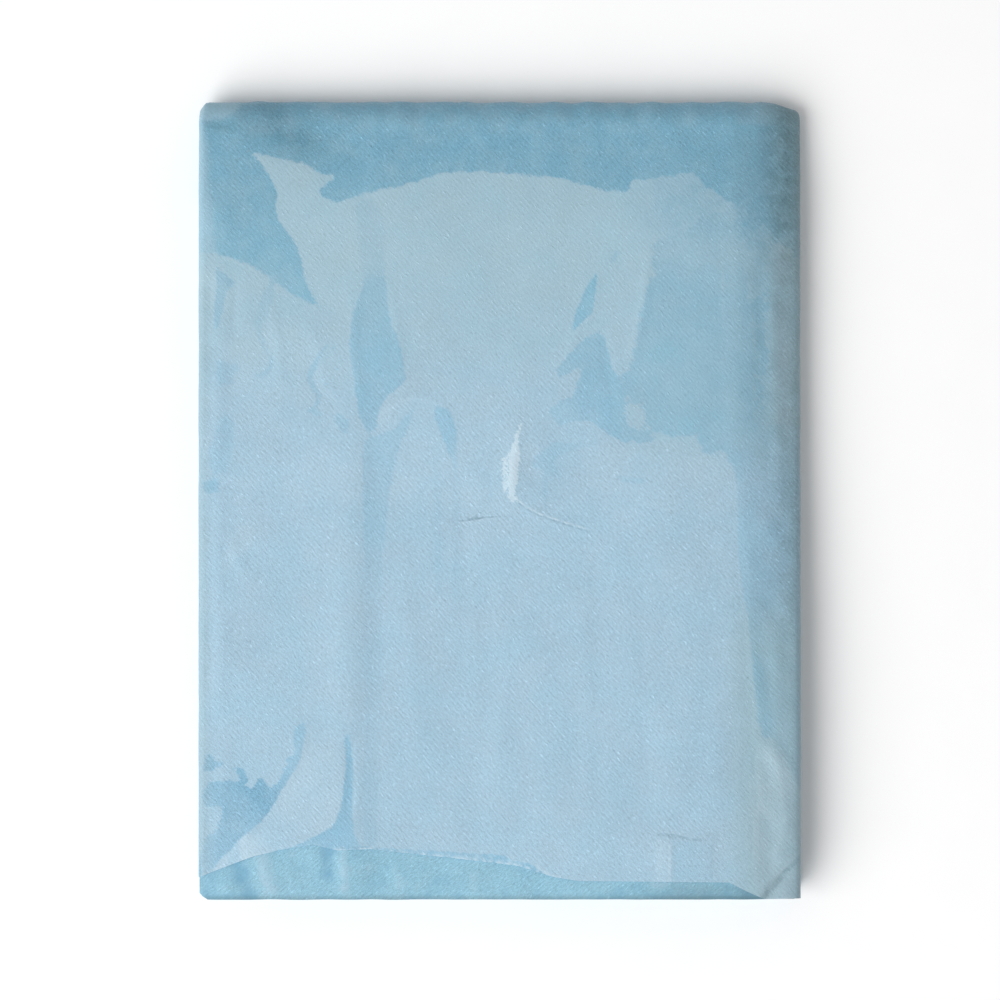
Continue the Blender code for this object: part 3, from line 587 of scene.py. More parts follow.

# Fine creases as painted highlight on the line and painted shade beside it, or the other way round
# below 0
fineLines = {
    "pinch tail": fineLine(0.38, 0.72, [(39.5, -12.4), (35.2, -11.7), (25.7, -8.8), (16.1, -5.6),
        (10, -2.4), (7, 0.4)], fade=(0.3, 0.02)),
    "left tail": fineLine(0.36, -1.0, [(4.6, -6.5), (-2, -6.6), (-6.5, -6.9), (-9.8, -7.6),
        (-16.4, -8.3)], fade=(0.4, 0.03)),
    "left tail twig": fineLine(0.32, -0.4, [(-12, -7.6), (-8.5, -5.4), (-4, -2.8)], fade=(0.1, 0.5)),
    "pinch upright": fineLine(0.5, -0.14, [(-6.7, 34), (-6.4, 24), (-6.8, 12)]),
    "field edge": fineLine(0.8, 0.12, [(88.8, 98), (88.6, 84), (88.9, 66)]),
    "right crease": fineLine(1.1, -0.22, [(104, -92), (101.5, -95), (100.5, -105), (100.6, -112),
        (101.8, -119), (99.5, -131), (99.3, -150)], fade=(0.2, 0.3)),
    "fan a": fineLine(1.2, 0.12, [(107.5, -95), (111.5, -112), (113, -128), (109, -146)]),
    "fan b": fineLine(1.2, -0.12, [(103, -120), (106.5, -130), (107.5, -142), (106, -152)]),
    "corner": fineLine(1.0, -0.6, [(103.8, -159.5), (106.4, -156), (109, -153.6), (113.8, -147.6),
        (121, -141)], fade=(0.02, 0.02)),
    "tie left": fineLine(0.7, 0.3, [(67.6, -134.8), (67.4, -151.5)], fade=(0.2, 0.2)),
    "tie top": fineLine(0.6, -0.55, [(62.5, -132.6), (69, -133.2), (76, -134.8), (83, -135)],
        fade=(0.05, 0.3)),
    "tie right": fineLine(0.45, -0.18, [(84.1, -137), (84.2, -151)], fade=(0.15, 0.1)),
    "left bar": fineLine(1.2, 0.1, [(-113.4, 97), (-114.8, 60)]),
    "triangle lip": fineLine(0.7, 0.12, [(-113, 97), (-106, 95), (-99, 92), (-92, 88)],
        fade=(0.05, 0.6)),
    "arch lip": fineLine(1.0, 0.1, [(-48, 27), (-47.5, 34), (-42, 38.6), (-34, 41), (-28.5, 40)]),
    "hem stitches": fineLine(0.5, 0.5, [(-64, -139.3), (-60, -138.9), (-49.6, -138.7)],
        fade=(0.05, 0.3)),
}
# Strokes of painted shadow, added to the painted shade
shadows = {
    "ear tuck": crease(1.7, 0.34, [(-118, 149.8), (-113, 149.2), (-107, 148.2), (-101, 149)],
        fade=(0.1, 0.5)),
    "corner": crease(1.9, 0.42, [(103.6, -159.5), (107.2, -155), (111, -150.6), (117, -144)],
        fade=(0.05, 0.6)),
}
underZones = {
    "wide": zone(0.8, 1.2, 0.5, [(-118, 120), (-80, 126), (-40, 104), (0, 112), (50, 128), (96, 116),
        (130, 124), (130, 175), (-130, 175), (-130, 118)]),
    "long": zone(0.7, 0.9, 0.5, [(-66, 70), (-52, 74), (-46, 30), (-52, -20), (-58, -80), (-66, -84),
        (-68, -10)]),
    "patch": zone(0.65, 3.0, 0.6, [(6, 64), (30, 60), (56, 70), (68, 52), (60, 22), (50, -12), (36, 4),
        (18, -2), (12, 22), (-2, 34)]),
    "corner": zone(0.9, 1.0, 0.4, [(60, -130), (88, -108), (118, -96), (130, -100), (130, -170),
        (40, -170), (52, -146)]),
    "left foot": zone(0.7, 1.0, 0.5, [(-122, -60), (-104, -70), (-96, -100), (-84, -118), (-90, -140),
        (-122, -136)]),
}


def reachInto(x, y, outline, wide):
    if not wide:
        return inside(x, y, outline)
    # A stroke narrows to its ends
    distance, share, side = nearLine(x, y, outline)
    swell = 0.35 + 0.65 * ease(share, 0, 0.35) * ease(1 - share, 0, 0.35)
    return wide / 2 * swell - distance


def contact(zones, x, y):
    # Distance into the nearest zone, and that zone's tone, fray and softness
    reach = np.full(x.shape, -40.0)
    total = np.full(x.shape, 1e-6)
    sums = np.zeros((3, *x.shape))
    for tone, fray, soft, outline, fades, calm, wide in zones.values():
        distance = reachInto(x, y, outline, wide)
        strength = np.full(x.shape, tone)
        for (ax, ay), (bx, by), end in fades:
            length = math.dist((ax, ay), (bx, by))
            part = ((x - ax) * (bx - ax) + (y - ay) * (by - ay)) / length
            strength *= 1 + (end - 1) * ease(part, 0, length)
        rough = 0.3 + 0.7 * ease(nearLine(x, y, calm)[0], 1.5, 6) if calm else 1.0
        weight = np.exp(np.clip(distance, -40, 0) / 1.2)
        reach = np.maximum(reach, distance)
        total += weight
        for place, value in enumerate((strength, fray * rough, soft * (0.5 + 0.5 * rough))):
            sums[place] += weight * value
    return reach, *(sums / total)


def traceLines(x, y):
    # Signed distance to the nearest fine crease, its tone and its width
    best = np.full(x.shape, 1e9)
    offset, shown, width = np.ones((3, *x.shape))
    for wide, tone, line, fade in fineLines.values():
        distance, share, side = nearLine(x, y, line)
        closer = distance < best
        best = np.where(closer, distance, best)
        offset = np.where(closer, distance * side, offset)
        shown = np.where(closer, tone * alongLine(share, fade), shown)
        width = np.where(closer, wide, width)
    return offset, shown * (1 - ease(best, 2.0, 3.6)), width


def paintContact(piece, across, placeY, along, isUnder, isWrap):
    for name, zones, other in (("pressed", pressedZones, underZones),
                               ("lifted", liftedZones, {}), ("glint", glintZones, {})):
        onTop = contact(zones, across, placeY)
        below = contact(other, across, placeY)
        for label, top, bottom in zip(("Reach", "Tone", "Fray", "Soft"), onTop, below):
            setValues(piece, name + label, np.where(isUnder, bottom, top))
    offset, tone, wide = traceLines(across, placeY)
    setValues(piece, "lineSide", offset)
    setValues(piece, "lineTone", np.where(isUnder | isWrap, 0, tone))
    setValues(piece, "lineWide", wide)
    # Where several plies lie tight together the cloth looks deeper; the same darker colour is also
    # painted shade towards the +Y fold and in the dent at the top left
    deep = 0.75 * ease(placeY, 60, 146) * (1 - 0.2 * ease(across, 88, 112))
    dent = np.clip(-mounds({"dent": dents["top left"]}, across, placeY) / 1.1, 0, 1)
    deep += 0.25 * dent - 0.6 * ease(-across, 101, 108) * ease(placeY, 149, 153)
    deep += 0.5 * ease(-placeY, 80, 112) * ease(-across, 76, 92)
    deep += 0.6 * mounds(darkSpots, across, placeY)
    setValues(piece, "deep", np.where(isUnder, 0.75 * ease(placeY, 90, 140), deep))
    # The cloth is greyer towards the top and the low right corner
    lowRight = ease(across, 84, 102) * ease(-placeY, 26, 60)
    greyer = np.maximum(ease(placeY, 15, 100), lowRight * ~isUnder)
    greyer = np.maximum(greyer, 0.95 * ease(across, 30, 66) * ease(placeY, 0, 40))
    setValues(piece, "upper", greyer)
    # and looks half pressed over wide parts at the upper right
    veil = 0.34 * ease(across, 46, 66) * ease(placeY, 96, 110)
    veil += 0.44 * ease(across, 91, 98) * ease(across, 113, 105) * ease(placeY, 8, 30)
    setValues(piece, "veil", veil * ~(isUnder | isWrap))
    # Painted shade: darker towards the right edge, most at the upper right corner, in the dent at the
    # top left and along the shadow strokes
    shade = 0.62 * ease(placeY, -100, 0) + 0.38 * ease(placeY, 100, 140)
    shade = 0.12 * ease(across, 55, 100) + 0.56 * shade * ease(across, 101, 122)
    shade += 0.4 * ease(placeY, 60, 130) * ease(across, 99, 118) + 0.34 * dent
    shade += creaseRelief(shadows, across, placeY)
    shade *= np.where(isUnder | isWrap, ease(along, 180, 158), 1)
    setValues(piece, "shade", shade)
    # Painted shade on the side folds, which also hold many plies and look deeper
    edge = ease(np.abs(across), noseStart - 4, noseStart + 1)
    setValues(piece, "edge", edge * (1 - 0.85 * ease(placeY, 60, 110) * (across < 0)))


# The inside face of the back panel, under the hem
backSheet = {
    "name": "back_sheet",
    "node": "back_panel",
    "slot": "inner_cloth",
    "cloth": ("inner cloth", (0.258, 0.478, 0.602), -40, 0.040),
    "flat": (0.238, 0.048),
    "rests on": ["inside_layers"],
    "columns": 150,
    "rows": 34,
    "row spacing": 1.35,
    "left": -119.4,
    "right": 117.1,
    "innerY": -112.0,
    "depth": 0.55,
    "tucked": 0.95,
    "corner": 2.6,
    "creases": {
        "ridge a": crease(3.6, 0.42, [(-96.5, -139), (-95, -143), (-92.6, -151), (-90.5, -160)],
            fade=(0.1, 0.2)),
        "trough a": crease(3.2, -0.32, [(-105.5, -143), (-102.6, -149), (-98.6, -156), (-96, -161)],
            fade=(0.1, 0.2)),
        "patch a": crease(2.2, 0.22, [(-110.5, -151), (-108, -153.5), (-105.5, -156)]),
        "ridge b": crease(2.0, 0.34, [(-62.3, -137), (-61.8, -150), (-62.5, -160)], fade=(0.1, 0.25)),
        "trough b": crease(3.0, -0.36, [(-68.6, -135), (-68, -146), (-68.3, -156)], fade=(0.1, 0.3)),
        "ridge c": crease(2.0, 0.22, [(-41.5, -143), (-40.5, -149), (-40, -156)]),
        "ridge d": crease(2.4, 0.14, [(-10, -147), (-12, -160)]),
        "trough d": crease(3.4, -0.14, [(-24, -144), (-26, -158)]),
        "ridge e": crease(2.2, 0.12, [(28, -151), (29, -160)]),
        "curl": crease(1.8, 0.26, [(58, -152), (63, -153), (70, -152)]),
    },
}


def makeBackSheet():
    own = backSheet
    piece, columnOf, rowOf = newGrid(own["name"], own["columns"], own["rows"])
    x = own["left"] + (own["right"] - own["left"]) * columnOf / own["columns"]
    edge = -stack["halfLength"] + 0.15 + ripples(x, x, 21, 40, 0.35, 1.0)
    edge += own["corner"] * ease(-x, 116.6, 119.4)  # the corner at the left is drawn in
    y = edge + (own["innerY"] - edge) * (rowOf / own["rows"]) ** own["row spacing"]
    relief = creaseRelief(own["creases"], x, y)
    z = bed(x, y) - own["depth"] - own["tucked"] * ease(y - hemY(x), 2, 14)
    z += (relief + ripples(x, y, 22, 30, 0.3, 0.5)) * ease(y - hemY(x), 4, -1)
    z -= 0.9 * ease(-y, 156.5, 159.4) * (1 - 0.4 * np.sin(x / 9.0))
    z -= 0.8 * ease(x, 94, 102)
    moveVertices(piece, x, y, z)
    setClothMap(piece, x, y)
    tone = np.clip(relief, -0.6, 0.6)
    # Darker towards the front edge, where it rounds down: painted shade; also darker at the left end
    tone -= 0.16 * ease(-y, 154, 159) + 0.2 * ease(x, 20, 60) * ease(-y, 151, 158)
    tone -= 0.14 * ease(-x, 92, 104)
    setValues(piece, "crease", tone)
    # Painted shade along the front edge and more towards the right
    shade = 0.7 * ease(-y, 156.2, 158.6) + 0.4 * ease(x, 36, 84) * ease(-y, 149.5, 155)
    setValues(piece, "shade", shade)
    thicken(piece, stack["ply"])
    return piece


# The end of a waist tie, doubled over under the hem
tieEnd = {
    "name": "waist_tie",
    "node": "tie_end",
    "slot": "tie_cloth",
    "cloth": ("tie cloth", (0.33, 0.52, 0.65), 40, 0.034),
    "flat": (0.0214, 0.034),
    "rests on": ["back_sheet"],
    "left": 62.3,
    "right": 83.7,
    "backY": -133.8,
    "frontY": -149.9,
    "columns": 24,
    "rows": 44,
    "loop": 0.36,
    "depth": 0.5,
    "thickness": 0.22,
}


def makeTieEnd():
    # One strip of cloth that turns back under itself at its inner end
    own = tieEnd
    loop = own["loop"]
    piece, columnOf, rowOf = newGrid(own["name"], own["columns"], own["rows"])
    x = own["left"] + (own["right"] - own["left"]) * columnOf / own["columns"]
    run = own["backY"] - own["frontY"] - loop
    bend = math.pi * loop
    at = (2 * run + bend) * rowOf / own["rows"]
    turn = np.clip((at - run) / loop, 0, math.pi)
    y = own["frontY"] + np.minimum(at, run) - np.clip(at - run - bend, 0, None)
    y += loop * np.sin(turn)
    z = bed(x, y) - own["depth"] + loop * np.cos(turn) + ripples(x, y, 31, 14, 0.06)
    moveVertices(piece, x, y, z)
    setClothMap(piece, x, at)
    thicken(piece, own["thickness"])
    return piece


# The folded layers inside: one flattened tube, wound twice through the stack
foldedLayers = {
    "name": "inside_layers",
    "node": "folded_layers",
    "slot": "layered_cloth",
    "cloth": ("layer cloth", (0.30, 0.50, 0.64), 48, 0.034),
    "flat": (0.2365, 1.245),
    "rests on": ["front_sheet"],
    "face columns": 30,
    "nose columns": 12,
    "slack": 0.15,
    "cover": 1.5,
    "rounding": 2.2,
    "row length": 4.6,
    # rows, then where the stage starts and ends along Y
    "stages": {
        "outer top": (56, -151.0, backFoldY),
        "outer wrap": (14, backFoldY, backFoldY),
        "outer bottom": (50, backFoldY, frontFoldY),
        "front fold": (12, frontFoldY, frontFoldY),
        "inner bottom": (56, frontFoldY, backFoldY),
        "inner wrap": (12, backFoldY, backFoldY),
        "inner top": (56, backFoldY, -150.0),
    },
    # reach to the left and to the right at the start of each stage and at the last end
    "reach": [(118.3, 118.3), (118.3, 118.3), (118.4, 118.4), (118.4, 118.4),
              (118.5, 111.0), (118.5, 111.0), (117.5, 104.0), (117.5, 104.0)],
}


def makeFoldedLayers():
    own = foldedLayers
    faces, noses, stages = own["face columns"], own["nose columns"], own["stages"]
    segments = 2 * (faces + noses)
    # Each point round the tube: its share across from -1 to 1, its turn round a side
    # fold, and its level from the outer face, 0, to the inner face, 1
    flatShare = np.linspace(-1, 1, faces + 1)
    turns = np.linspace(0, math.pi, noses + 1)[1:-1]
    still, ones = np.zeros(faces + 1), np.ones(noses - 1)
    share = np.concatenate([flatShare, ones, flatShare[::-1], -ones])
    swing = np.concatenate([still, np.sin(turns), still, np.sin(turns)])
    level = np.concatenate([still, (1 - np.cos(turns)) / 2, still + 1, (1 + np.cos(turns)) / 2])

    rows = [(place, part) for place, name in enumerate(stages)
            for part in np.linspace(0, 1, stages[name][0] + 1)[1:]]
    rings = len(rows) + 1
    piece, rest = newPiece(own["name"], bpy.ops.mesh.primitive_uv_sphere_add,
                           segments=segments, ring_count=rings, radius=1)
    ringOf = np.rint(np.arccos(np.clip(rest[:, 2], -1, 1)) / math.pi * rings).astype(int)
    turnOf = np.arctan2(rest[:, 1], rest[:, 0]) % (2 * math.pi)
    pointOf = np.rint(turnOf / (2 * math.pi) * segments).astype(int) % segments
    pole = (ringOf == 0) | (ringOf == rings)
    rowOf = np.clip(ringOf - 1, 0, len(rows) - 1)
    stageOf = np.array([place for place, part in rows])[rowOf]
    part = np.array([part for place, part in rows])[rowOf]
    share = np.where(pole, 0.0, share[pointOf])
    swing = np.where(pole, 0.0, swing[pointOf])
    level = np.where(pole, 0.5, level[pointOf])
    here = {name: stageOf == place for place, name in enumerate(stages)}

    # The path along Y and the side reach, which passes smoothly from strip to strip
    start, end = np.array([(first, last) for count, first, last in stages.values()])[stageOf].T
    y = start + (end - start) * part
    reaches = np.array(own["reach"])
    column = (share > 0).astype(int)
    start, end = reaches[stageOf, column], reaches[stageOf + 1, column]
    reach = start + (end - start) * ease(part, 0, 1)

    # Uneven side folds, each with the edges of the plies inside it
    wander = ripples(y, reach, 41, 90, 1.6, 1.0) + ripples(y, reach * 7, 42, 24, 0.9, 0.8)
    wander += ripples(y + 7 * level, reach * 3, 43, 9, 0.25, 0.7)
    reach = reach - 0.5 + np.clip(wander, -2.0, 0.5) * (0.5 + 0.5 * (reach < 118.2))
    plies = 0.35 * np.abs(np.sin(3.5 * math.pi * level)) * swing
    x = share * (reach - own["rounding"]) + np.sign(share) * (own["rounding"] * swing - plies)

    full = bed(x, y)
    half = full / 2
    slack, cover = own["slack"], own["cover"]
    outerDepth = cover + level * (stack["strip"] - slack - cover)
    innerDepth = half - slack - level * (half - stack["strip"] - 2 * slack)
    z = np.where(here["outer top"], full - outerDepth + ripples(x, y, 44, 34, 0.3) * level, 0.0)
    z = np.where(here["outer bottom"], outerDepth, z)
    turn = np.pi * part
    outerReach = foldReach(x) - outerDepth
    y = np.where(here["outer wrap"], backFoldY + outerReach * np.sin(turn), y)
    z = np.where(here["outer wrap"], half + (half - outerDepth) * np.cos(turn), z)
    radius = stack["frontHalf"] - outerDepth
    z = np.where(here["front fold"], stack["frontHalf"] - radius * np.cos(turn), z)
    y = np.where(here["front fold"], frontFoldY - radius * np.sin(turn), y)
    # The inner strips, which settle from the fold's height to their place in the stack
    settle = ease(y, frontFoldY, frontFoldY + 14)
    start = stack["frontHalf"] + radius
    z = np.where(here["inner bottom"], start + (innerDepth - start) * settle, z)
    z = np.where(here["inner top"], full - innerDepth, z)
    innerReach = np.maximum(foldReach(x) - innerDepth, 0.05)
    y = np.where(here["inner wrap"], backFoldY + innerReach * np.sin(turn), y)
    z = np.where(here["inner wrap"], half - (half - innerDepth) * np.cos(turn), z)

    moveVertices(piece, x, y, z)
    setClothMap(piece, x + np.sign(share) * 4 * level, rowOf * own["row length"])
    bpy.ops.object.mode_set(mode="EDIT")
    bpy.ops.mesh.select_all(action="SELECT")
    bpy.ops.mesh.normals_make_consistent(inside=False)
    bpy.ops.object.mode_set(mode="OBJECT")
    bpy.ops.object.shade_smooth_by_angle(angle=math.radians(50))
    return piece


# Cut ends of the plies inside, which show at the -Y end
cutPlies = {
    "name": "cut_plies",
    "slot": "layered_cloth",
    "cloth": ("ply cloth", (0.33, 0.53, 0.66), 48, 0.034),
    "flat": (0.233, 0.054),
    "rests on": ["inside_layers"],
    "columns": 110,
    "rows": 8,
    "thickness": 0.25,
    "innerY": -149.0,
    # depth under the top face, how far the cut reaches, left end, right end, seed
    "plies": {
        "lining a": (2.3, -158.2, -117.0, 116.0, 51),
        "lining b": (3.2, -157.2, -117.6, 114.0, 52),
        "lining c": (4.1, -158.4, -116.0, 112.5, 53),
        "neck a": (6.6, -157.4, -116.4, 103.0, 54),
        "neck b": (7.7, -155.8, -115.0, 101.0, 55),
        "neck c": (8.8, -157.6, -116.8, 102.4, 56),
    },
}


def makeCutPlies():
    own = cutPlies
    strips = []
    for depth, reach, left, right, seed in own["plies"].values():
        piece, columnOf, rowOf = newGrid("cut_ply", own["columns"], own["rows"])
        x = left + (right - left) * columnOf / own["columns"]
        edge = reach + ripples(x, x, seed, 60, 2.2, 1.0)
        part = 1 - rowOf / own["rows"]
        y = np.maximum(own["innerY"] + (edge - own["innerY"]) * part, -stack["halfLength"])
        wave = ripples(x, y, seed + 10, 36, 0.7, 0.8) * part
        moveVertices(piece, x, y, bed(x, y) - depth + wave - 0.25 * part ** 2)
        setClothMap(piece, x, y)
        thicken(piece, own["thickness"])
        strips.append(piece)
    for piece in strips:
        piece.select_set(True)
    bpy.context.view_layer.objects.active = strips[0]
    bpy.ops.object.join()
    strips[0].name = strips[0].data.name = own["name"]
    return strips[0]


# Shader nodes. Each helper adds its node to the tree that its sockets belong to.
def connect(source, target):
    # source is a socket, or a plain value for the target
    if isinstance(source, bpy.types.NodeSocket):
        target.id_data.links.new(source, target)
    else:
        target.default_value = source


def newNode(kind, *values):
    tree = next(value.id_data for value in values if isinstance(value, bpy.types.NodeSocket))
    return tree.nodes.new("ShaderNode" + kind)


def calculate(operation, *values):
    node = newNode("Math", *values)
    node.operation = operation
    for socket, value in zip(node.inputs, values):
        connect(value, socket)
    return node.outputs[0]


def times(first, second):
    return calculate("MULTIPLY", first, second)


def timesPlus(first, second, added):
    return calculate("MULTIPLY_ADD", first, second, added)


def mapRange(value, low, high, toLow=0.0, toHigh=1.0, smooth=False):
    node = newNode("MapRange", value)
    node.interpolation_type = "SMOOTHSTEP" if smooth else "LINEAR"
    for socket, given in zip(node.inputs, (value, low, high, toLow, toHigh)):
        connect(given, socket)
    return node.outputs[0]


def mixColour(share, first, second, blend="MIX"):
    node = newNode("Mix", share, first, second)
    node.data_type = "RGBA"
    node.blend_type = blend
    connect(share, node.inputs["Factor"])
    for socket, value in ((node.inputs[6], first), (node.inputs[7], second)):
        connect((*value, 1.0) if isinstance(value, tuple) else value, socket)
    return node.outputs[2]


def tinted(colour, tint):
    return mixColour(1.0, colour, tint, "MULTIPLY")


def noise(vector, scale, detail=2.0, roughness=0.5):
    node = newNode("TexNoise", vector)
    for name, value in (("Vector", vector), ("Scale", scale), ("Detail", detail),
                        ("Roughness", roughness)):
        connect(value, node.inputs[name])
    return node.outputs[0]


def centred(*settings):
    return calculate("SUBTRACT", noise(*settings), 0.5)


def stretchedNoise(u, v, scaleU, scaleV, detail=2.0, roughness=0.5):
    # Signed noise on a turned and stretched plane, scales in cycles a millimetre
    place = newNode("CombineXYZ", u)
    connect(times(u, scaleU), place.inputs[0])
    connect(times(v, scaleV), place.inputs[1])
    return timesPlus(noise(place.outputs[0], 1.0, detail, roughness), 2.0, -1.0)


def makeGroup(name, inputs, outputs):
    # Turns the function below it into a node group with these inputs and outputs
    def make(build):
        group = bpy.data.node_groups.new(name, "ShaderNodeTree")
        for label, value in inputs.items():
            kind = "Vector" if value is None else "Float"
            socket = group.interface.new_socket(name=label, in_out="INPUT",
                                                socket_type="NodeSocket" + kind)
            if value is not None:
                socket.default_value = value
        for label, kind in outputs.items():
            group.interface.new_socket(name=label, in_out="OUTPUT",
                                       socket_type="NodeSocket" + kind)
        given = group.nodes.new("NodeGroupInput")
        result = group.nodes.new("NodeGroupOutput")
        for label, value in zip(outputs, build(*(given.outputs[label] for label in inputs))):
            connect(value, result.inputs[label])
        return group
    return make


@makeGroup("embossing", {"Vector": None, "Pitch": 1.7, "Turn": 0.84, "Wander": 0.7},
           {"Height": "Float", "Grain": "Float"})
def embossing(place, pitch, turn, wander):
    # Slanting rows of broken raised streaks with flecks and fibres; the place is in mm
    bend = newNode("VectorRotate", place)
    bend.rotation_type = "Z_AXIS"
    connect(place, bend.inputs["Vector"])
    connect(turn, bend.inputs["Angle"])
    split = newNode("SeparateXYZ", place)
    connect(bend.outputs[0], split.inputs[0])
    u, v = split.outputs[0], split.outputs[1]
    across = calculate("ADD", calculate("DIVIDE", v, pitch), times(centred(place, 0.16), wander))
    swing = calculate("COSINE", times(across, 2 * math.pi))
    # The rows come and go along their length
    strength = mapRange(stretchedNoise(u, v, 0.32, 0.62, 2.0, 0.6), -0.12, 0.34, 0.08, 1.0)
    worn = mapRange(noise(place, 0.05, 3.0), 0.35, 0.65, 0.6, 1.1)
    raised = times(times(swing, strength), worn)
    flecks = stretchedNoise(u, v, 0.62, 1.7, 2.0, 0.6)
    fibres = stretchedNoise(u, v, 2.3, 3.0, 1.0, 0.6)
    specks = stretchedNoise(v, u, 1.2, 0.42, 1.0)
    ticks = timesPlus(mapRange(specks, -0.30, -0.52), -0.5, mapRange(specks, 0.27, 0.50))
    height = timesPlus(ticks, 2.0, timesPlus(flecks, 1.3, times(raised, 0.8)))
    grain = timesPlus(fibres, 1.35, timesPlus(flecks, 1.2, times(raised, 0.34)))
    return height, timesPlus(ticks, 1.1, grain)


@makeGroup("ply contact", {"Vector": None, "Reach": 0.0, "Tone": 1.0, "Fray": 0.5,
                           "Soft": 0.4, "Grain": 0.0}, {"Mask": "Float"})
def plyContact(place, reach, tone, fray, soft, grain):
    # A patch whose edge is where the reach passes 0, frayed by noise and the embossing
    ragged = times(centred(place, 0.24, 6.0, 0.68), 8.0)
    reach = timesPlus(centred(place, 0.8, 3.0, 0.7), 2.6, timesPlus(ragged, fray, reach))
    reach = timesPlus(grain, 0.35, reach)
    mask = mapRange(reach, times(soft, -1.0), soft, 0.0, 1.0, True)
    uneven = mapRange(noise(place, 0.11, 4.0, 0.6), 0.3, 0.6, 0.72, 1.0)
    return [times(mask, times(tone, uneven))]


@makeGroup("mottle", {"Vector": None, "Slow": 0.12, "Blotch": 0.10},
           {"Factor": "Color", "Fibre": "Float"})
def mottle(place, slow, blotch):
    # Unevenness of thin spun cloth: a tinted factor near 1, and its fibres
    total = timesPlus(centred(place, 0.030), slow, 1.0)
    total = timesPlus(centred(place, 0.13, 3.0, 0.6), blotch, total)
    shift = newNode("VectorMath", place)
    connect(place, shift.inputs[0])
    shift.inputs[1].default_value = (311.0, 127.0, 0.0)  # a far spot of the same noise
    warm = mapRange(noise(shift.outputs[0], 0.055, 4.0, 0.6), 0.36, 0.64)
    tint = mixColour(warm, (0.979, 1.002, 1.006), (1.022, 0.996, 0.989))
    return tinted(tint, total), noise(place, 2.2, 2.0, 0.6)


@makeGroup("fine crease", {"Side": 9.0, "Tone": 0.0, "Wide": 0.5, "Grain": 0.0},
           {"Line": "Float"})
def fineCrease(side, tone, wide, grain):
    # Painted highlight where the side is near 0 and painted shade beside it
    side = timesPlus(grain, 0.25, side)
    inner, outer = times(wide, 0.4), times(wide, 1.4)
    pale = mapRange(calculate("ABSOLUTE", side), inner, outer, 1.0, 0.0, True)
    beside = calculate("ABSOLUTE", timesPlus(wide, 1.9, side))
    dark = mapRange(beside, inner, outer, 0.7, 0.0, True)
    # A painted shade line has only a faint painted highlight beside it
    dark = times(dark, mapRange(tone, -0.1, 0.1, 0.3, 1.0))
    return [times(calculate("SUBTRACT", pale, dark), tone)]


def useGroup(group, **values):
    node = newNode("Group", *values.values())
    node.node_tree = group
    for name, value in values.items():
        connect(value, node.inputs[name])
    return node.outputs


def readValues(tree, *names):
    nodes = [tree.nodes.new("ShaderNodeAttribute") for name in names]
    for node, name in zip(nodes, names):
        node.attribute_name = name
    return [node.outputs["Fac"] for node in nodes]


def startMaterial(name):
    # A principled cloth with its flat coordinates in mm
    material = bpy.data.materials.new(name)
    material.use_nodes = True
    tree = material.node_tree
    uvNode = tree.nodes.new("ShaderNodeUVMap")
    uvNode.uv_map = "clothMap"
    toMm = tree.nodes.new("ShaderNodeVectorMath")
    toMm.operation = "SCALE"
    connect(uvNode.outputs[0], toMm.inputs[0])
    toMm.inputs["Scale"].default_value = 1 / mm
    return material, tree, toMm.outputs[0]


def finishMaterial(tree, colour, height, roughness, relief, relieved, fibre, fibred):
    # roughness at the low and at the high places, then two reliefs with their heights in mm
    shader = tree.nodes["Principled BSDF"]
    connect(colour, shader.inputs["Base Color"])
    connect(mapRange(height, -1.0, 1.0, *roughness), shader.inputs["Roughness"])
    shader.inputs["Specular IOR Level"].default_value = cloth["specular"]
    relief = timesPlus(fibre, fibred * mm, times(relief, relieved * mm))
    bump = newNode("Bump", relief)
    bump.inputs["Strength"].default_value = 1.0
    bump.inputs["Distance"].default_value = 1.0
    connect(relief, bump.inputs["Height"])
    connect(bump.outputs[0], shader.inputs["Normal"])


def addGrain(colour, grain, strength):
    # The embossing and its streaks, as a slight change of colour
    return tinted(colour, timesPlus(grain, strength, 1.0))


noTint = (1.0, 1.0, 1.0)
cloth = {
    "free": (0.345, 0.516, 0.636),
    "pressed": (0.240, 0.458, 0.610),
    "deep": (0.160, 0.366, 0.518),
    "lifted": (0.440, 0.595, 0.700),
    "white": (0.780, 0.870, 0.920),
    "upper tint": (0.957, 0.950, 0.912),
    "shade": (0.52, 0.53, 0.50),
    "folded edge shade": (0.225, 0.34, 0.39),
    "painted crease shade": (0.10, 0.19, 0.25),
    "roughness": (0.60, 0.44),
    "specular": 0.35,
    "pitch": 1.68,
    "turn": math.radians(48),
    "emboss": 0.038,
    "fibre": 0.014,
    "grain": 0.215,
    "upper grain": 0.6,  # these two as shares of the grain
    "tight grain": 0.8,
    "shaded grain": 0.14,
    "edge shade share": 0.45,
    "rim highlight share": 0.45,
    "glint share": 0.40,
    "line relief": 1.4,
}
lining = {  # the cloth seen from its inside
    "pitch": 1.6,
    "unevenness": 0.16,
    "grain": 0.29,
    "blotches": 1.1,
    "lifted": 0.45,
    "sunk": 0.8,
    "shade": (0.60, 0.56, 0.52),
    "roughness": (0.62, 0.48),
    "fibre": 0.012,
}


